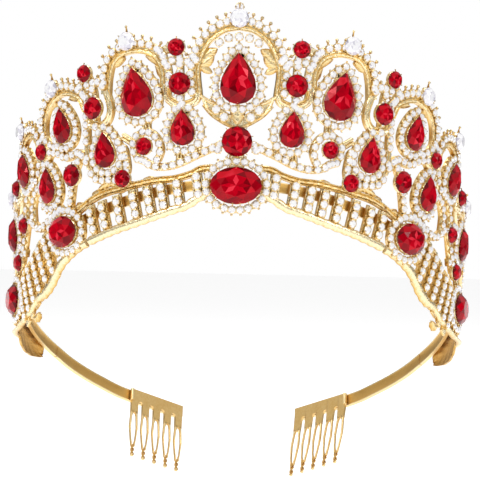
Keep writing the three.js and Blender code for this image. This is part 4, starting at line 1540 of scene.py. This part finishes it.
@dataclass
class Comb:
    """A pressed comb inside the end of an arm.

    Attributes:
        side: 1 right, -1 left.
        lean: Lean of the teeth, mm per mm.
        width: Length of the spine, mm.
        spine: Depth of the spine, mm.
        thickness: Thickness of the plate, mm.
        teeth: Number of teeth.
        pitch: Distance between teeth, mm.
        reach: Distance from the spine's top to the teeth's tips, mm.
        root: Distance from the spine's top to where a tooth's own plate begins, mm.
        gap: Gap between the comb and the strip, mm.
        shoulder: Half width of a tooth at its root, mm.
        middle: Place of the comb's middle on the arm, as degrees and distance from the axis, mm.
        outer: Half widths of a tooth, as (distance from the top, half width), mm.
        eye: Half widths of the eye in a tooth, likewise.
        lug: Half width and half thickness of the folded lug, mm.
        lug_inset: Distance of its middle from the spine's end, mm.
        lug_back: Distance of its middle behind the plate's, mm.
        twist: Where the twisted strands begin and end, as distances from the top, mm.
        twist_rate: Turn of the strands, radians per mm.
        wire: Radius of a strand, and of the circle its middle follows, mm.
        bead_radius: Radius of the bead at a tip, mm.
    """

    side: int
    lean: float
    width: float = 21.6
    spine: float = 3.9
    thickness: float = 0.9
    teeth: int = 5
    pitch: float = 4.64
    reach: float = 24.7
    root: float = 8.0
    gap: float = 0.3
    shoulder: float = 1.34
    middle: Point = (156.5, 72.2)
    outer: tuple[Point, ...] = ((3.5, 1.35), (8, 1.35), (14, 1.75), (20.9, 0.8), (24.7, 0.8))
    eye: tuple[Point, ...] = ((8.1, 0.2), (10, 0.8), (14, 1.1), (18.4, 0.75), (20.4, 0.2))
    lug: Point = (0.6, 0.72)
    lug_inset: float = 0.45
    lug_back: float = 0.15
    twist: Point = (20.2, 24.4)
    twist_rate: float = 1.9
    wire: float = 0.36
    bead_radius: float = 0.6

    def set_in(self, local: Array) -> Array:
        """Put the comb's own plane inside the end of its arm.

        Args:
            local: Rows of (x, down, out), mm.

        Returns:
            Rows of (x, y, z) in the frame's axes, m.
        """
        flip = np.array([self.side, 1.0])
        first, last = (LOOP.place(at) * flip for at in LOOP.route[-2:])
        along = (last - first) * self.side
        along /= np.linalg.norm(along)
        outward = np.array([along[1], -along[0]])
        strip = Headband()
        origin = LOOP.place(self.middle) * flip - outward * (strip.thickness / 2 + self.gap + self.thickness)
        x = local[:, 0] + self.lean * np.maximum(0, local[:, 1] - self.spine)
        plan = origin + x[:, None] * along + local[:, 2:3] * outward
        return LOOP.raise_up(np.column_stack([plan, strip.width / 2 - local[:, 1]]))

    def skin(self, bag: Bag, x: Array, down: Array, out: Array, depth: Array | float) -> None:
        """Add a closed surface of rings, one for each step down the comb.

        Args:
            bag: Mesh to add to.
            x: Places across the comb, one row for each ring, mm.
            down: Distance of each ring from the comb's top, mm.
            out: Places through the plate, like x, mm.
            depth: Depth attribute of a ring's points, or one value for all: low for painted shade, high for painted
                highlight.
        """
        n, m = x.shape
        rows = np.stack([x, np.broadcast_to(down[:, None], (n, m)), out], axis=2).reshape(-1, 3)
        bag.add(self.set_in(rows), tube(n, m), depth=np.tile(np.broadcast_to(depth, m), n))

    def slab(self, bag: Bag, left: Array, right: Array, down: Array, soft: float = 0.22) -> None:
        """A plate between two edges: eight corners across, with its front and back edges rounded off.

        Args:
            bag: Mesh to add to.
            left: Place of its left edge at each step, mm.
            right: Place of its right edge, mm.
            down: Distance of each step from the comb's top, mm.
            soft: Size of the rounding, mm.
        """
        soft_x = np.minimum(soft, (right - left) * 0.3)
        xs = np.stack([left, left, left + soft_x, right - soft_x, right, right, right - soft_x, left + soft_x], axis=1)
        t = self.thickness
        outs = np.broadcast_to([soft, t - soft, t, t, t - soft, soft, 0.0, 0.0], xs.shape)
        # sides of the legs painted in shade and their front and back faces painted as highlight, through the depth
        # attribute
        self.skin(bag, xs, down, outs, np.array([0.6, 0.6, 0.95, 0.95, 0.6, 0.6, 0.95, 0.95]))

    def plate(self, bag: Bag) -> None:
        """Spine and tooth roots: a column at each place along x, whose foot follows the slots' round tops.

        Args:
            bag: Mesh to add to.
        """
        half, slot = self.width / 2, self.pitch / 2 - self.shoulder
        x = np.linspace(-half, half, 433)
        middles = (np.arange(self.teeth - 1) - (self.teeth - 2) / 2) * self.pitch
        near = np.abs(x[:, None] - middles).min(axis=1)
        round_top = self.spine + slot - np.sqrt(np.maximum(slot**2 - near**2, 0))
        outside = np.abs(x) > (self.teeth - 1) / 2 * self.pitch + self.shoulder + 0.02
        foot = np.where(near < slot, round_top, self.root + 0.6)
        foot = np.where(outside, self.spine, foot)
        n = len(x)
        t = np.full(n, self.thickness)
        zero = np.zeros(n)
        rows = np.stack([np.stack([x, zero, zero], axis=1), np.stack([x, zero, t], axis=1),
                         np.stack([x, foot, t], axis=1), np.stack([x, foot, zero], axis=1)], axis=1).reshape(-1, 3)
        bag.add(self.set_in(rows), tube(n, 4), depth=0.6)

    def fold(self, bag: Bag) -> None:
        """The folded lug at the outer end of the spine, where the strip goes in: a rounded bar down its edge.

        Args:
            bag: Mesh to add to.
        """
        side = np.linspace(0, 2 * np.pi, 10, endpoint=False)
        down = np.array([-0.15, 0.0, 3.9, 4.1])
        swell = np.array([0.5, 1.0, 1.0, 0.5])
        outer = -self.side * (self.width / 2 - self.lug_inset)
        x = outer + self.lug[0] * swell[:, None] * np.cos(side)
        out = self.thickness / 2 + self.lug[1] * swell[:, None] * np.sin(side) - self.lug_back
        self.skin(bag, x, down, out, 1.0)

    def tooth(self, bag: Bag, middle: float) -> None:
        """One tooth: two legs round a long eye, two strands that twist together, and a bead at the tip.

        Args:
            bag: Mesh to add to.
            middle: Place of the tooth across the comb, mm.
        """
        down = np.linspace(self.root, self.outer[-2][0], 40)
        wide = np.interp(down, *np.array(self.outer).T)
        hole = np.interp(down, *np.array(self.eye).T)
        self.slab(bag, middle - wide, middle - hole, down)
        self.slab(bag, middle + hole, middle + wide, down)
        for start in (0.0, math.pi):
            self.strand(bag, middle, start)
        self.bead(bag, middle)

    def strand(self, bag: Bag, middle: float, start: float) -> None:
        """One twisted strand: a round wire whose middle goes round the tooth's axis as it comes down.

        Args:
            bag: Mesh to add to.
            middle: Place of the tooth across the comb, mm.
            start: Turn of the strand at its top, radians.
        """
        down = np.linspace(*self.twist, 26)
        turn = start + (down - self.twist[0]) * self.twist_rate
        side = np.linspace(0, 2 * np.pi, 6, endpoint=False)
        x = middle + self.wire * np.cos(turn)[:, None] + self.wire * np.cos(side)
        out = self.thickness / 2 + self.wire * np.sin(turn)[:, None] + self.wire * np.sin(side)
        # strands painted in shade, through a low depth attribute
        self.skin(bag, x, down, out, 0.3)

    def bead(self, bag: Bag, middle: float) -> None:
        """The bead at a tip: rings of a sphere between its two poles.

        Args:
            bag: Mesh to add to.
            middle: Place of the tooth across the comb, mm.
        """
        radius = self.bead_radius
        polar = np.linspace(0.25, math.pi - 0.25, 7)
        side = np.linspace(0, 2 * np.pi, 10, endpoint=False)
        x = middle + radius * np.sin(polar)[:, None] * np.cos(side)
        out = self.thickness / 2 + radius * np.sin(polar)[:, None] * np.sin(side)
        self.skin(bag, x, self.reach - radius - radius * np.cos(polar), out, 1.0)

    def build(self, brass: bpy.types.Material) -> bpy.types.Object:
        """Build the comb as one piece that rides on its arm.

        Args:
            brass: Finish.

        Returns:
            The piece.
        """
        name = "right" if self.side > 0 else "left"
        bag = Bag()
        self.plate(bag)
        self.fold(bag)
        for i in range(self.teeth):
            self.tooth(bag, (i - (self.teeth - 1) / 2) * self.pitch)
        piece = bag.piece(f"comb_{name}_pressed", brass, smooth=True)
        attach(piece, f"arm_{name}")
        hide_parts(f"comb_{name}")
        return piece


# ---- Studio ----------------------------------------


@dataclass(frozen=True)
class Studio:
    """Floor, light and camera.

    Attributes:
        lens: Focal length on a 36 mm sensor, mm.
        eye: Place of the camera, m.
        yaw: Turn of the camera to the left about the vertical, degrees.
        roll: Turn of the camera about its own axis, degrees.
        floor: Height of the floor, m.
        reach: Half the floor's width, m.
        sky: Greys of the reflected surroundings, from straight below to straight above.
    """

    lens: float = 212.4
    eye: tuple[float, float, float] = (0.01525, -0.9, 0.0206)
    yaw: float = 0.95
    roll: float = 1.23
    floor: float = -0.0625
    reach: float = 6.0
    sky: tuple[Point, ...] = ((0.0, 0.34), (0.38, 0.26), (0.46, 0.05), (0.57, 0.08), (0.64, 0.62), (1.0, 0.8))

    def lay_floor(self) -> None:
        """A plain pale floor."""
        mesh = bpy.data.meshes.new("studio_floor")
        corners = [(x * self.reach, y * self.reach, self.floor) for x, y in ((-1, -1), (1, -1), (1, 1), (-1, 1))]
        mesh.from_pydata(corners, [], [(0, 1, 2, 3)])
        g = MaterialGraph("pale_floor")
        g.dress({"Base Color": (0.95, 0.95, 0.95), "Roughness": 0.9, "Emission Color": (1.0, 1.0, 1.0),
                 "Emission Strength": 0.3})
        mesh.materials.append(g.material)
        floor = bpy.data.objects.new("studio_floor", mesh)
        bpy.context.scene.collection.objects.link(floor)

    def light(self, name: str, at: tuple[float, float, float], size: float, power: float) -> None:
        """One square soft light that faces the crown.

        Args:
            name: Its name.
            at: Its place, m.
            size: Length of its side, m.
            power: Its power, W.
        """
        lamp = bpy.data.lights.new(name, "AREA")
        lamp.size, lamp.energy = size, power
        made = bpy.data.objects.new(name, lamp)
        made.location = at
        aim = bpy.data.objects.new(f"{name}_aim", None)
        aim.location = (0, 0, 0.01)
        for thing in (made, aim):
            bpy.context.scene.collection.objects.link(thing)
        track = made.constraints.new("TRACK_TO")
        track.target, track.track_axis, track.up_axis = aim, "TRACK_NEGATIVE_Z", "UP_Y"

    def surround(self) -> None:
        """Surroundings: white where seen directly, and bands of light and dark where reflected."""
        world = bpy.data.worlds.new("studio_world")
        world.use_nodes = True
        bpy.context.scene.world = world
        g = Graph(world.node_tree)
        split = g.node("ShaderNodeSeparateXYZ", {}, {0: g.term(g.node("ShaderNodeTexCoord"), "Generated")})
        half = g.node("ShaderNodeMapRange", {}, {"Value": g.term(split, "Z"), "From Min": -1.0, "From Max": 1.0})
        greys = g.ramp(g.term(half), tuple((at, (grey, grey, grey)) for at, grey in self.sky))
        seen = g.term(g.node("ShaderNodeLightPath"), "Is Camera Ray")
        mix = g.node("ShaderNodeMix", {"data_type": "RGBA"}, {0: seen, 6: greys, 7: (1.0, 1.0, 1.0)})
        back = g.node("ShaderNodeBackground", {}, {"Color": g.term(mix, 2)})
        g.node("ShaderNodeOutputWorld", {}, {0: g.term(back)})

    def camera(self) -> None:
        """The camera, level, turned a little about the vertical and about its own axis."""
        data = bpy.data.cameras.new("studio_camera")
        data.lens, data.sensor_width = self.lens, 36.0
        data.clip_start, data.clip_end = 0.05, 20.0
        camera = bpy.data.objects.new("studio_camera", data)
        camera.location = self.eye
        level = (Matrix.Rotation(math.radians(self.yaw), 3, "Z") @ Matrix.Rotation(math.radians(90), 3, "X")
                 @ Matrix.Rotation(math.radians(self.roll), 3, "Z"))
        camera.rotation_euler = level.to_euler()
        bpy.context.scene.collection.objects.link(camera)
        bpy.context.scene.camera = camera

    def build(self) -> None:
        """Set up the whole studio."""
        self.lay_floor()
        self.surround()
        self.light("key_softbox", (-0.9, -1.0, 1.1), 0.5, 7.0)
        self.light("fill_softbox", (1.1, -0.8, 0.6), 0.4, 3.0)
        self.light("top_softbox", (0.0, 0.5, 1.4), 0.6, 5.0)
        self.camera()
        view = bpy.context.scene.view_settings
        view.view_transform, view.look = "Standard", "None"


def main() -> None:
    """Build every piece, then the studio."""
    gold, satin, brass = GOLD.make(), SATIN.make(), BRASS.make()
    ruby, clear = RUBY.make(), CLEAR.make()
    pieces: list[bpy.types.Object] = []
    for casting in (Casting("centre_frame", (1, -1), True), Casting("left_side_frame", (-1,), False),
                    Casting("right_side_frame", (1,), False)):
        pieces += casting.build(gold, clear)
    pieces += [gem.dress(ruby, clear) for gem in GEMS]
    headband = Headband()
    pieces.append(headband.front(satin))
    for side, lean in ((1, 0.15), (-1, 0.0)):
        pieces.append(headband.arm(side, satin))
        pieces.append(Comb(side, lean).build(brass))
    Studio().build()
    for piece in pieces:
        LOG.info("%s: %d faces", piece.name, len(piece.data.polygons))


if __name__ == "__main__":
    main()
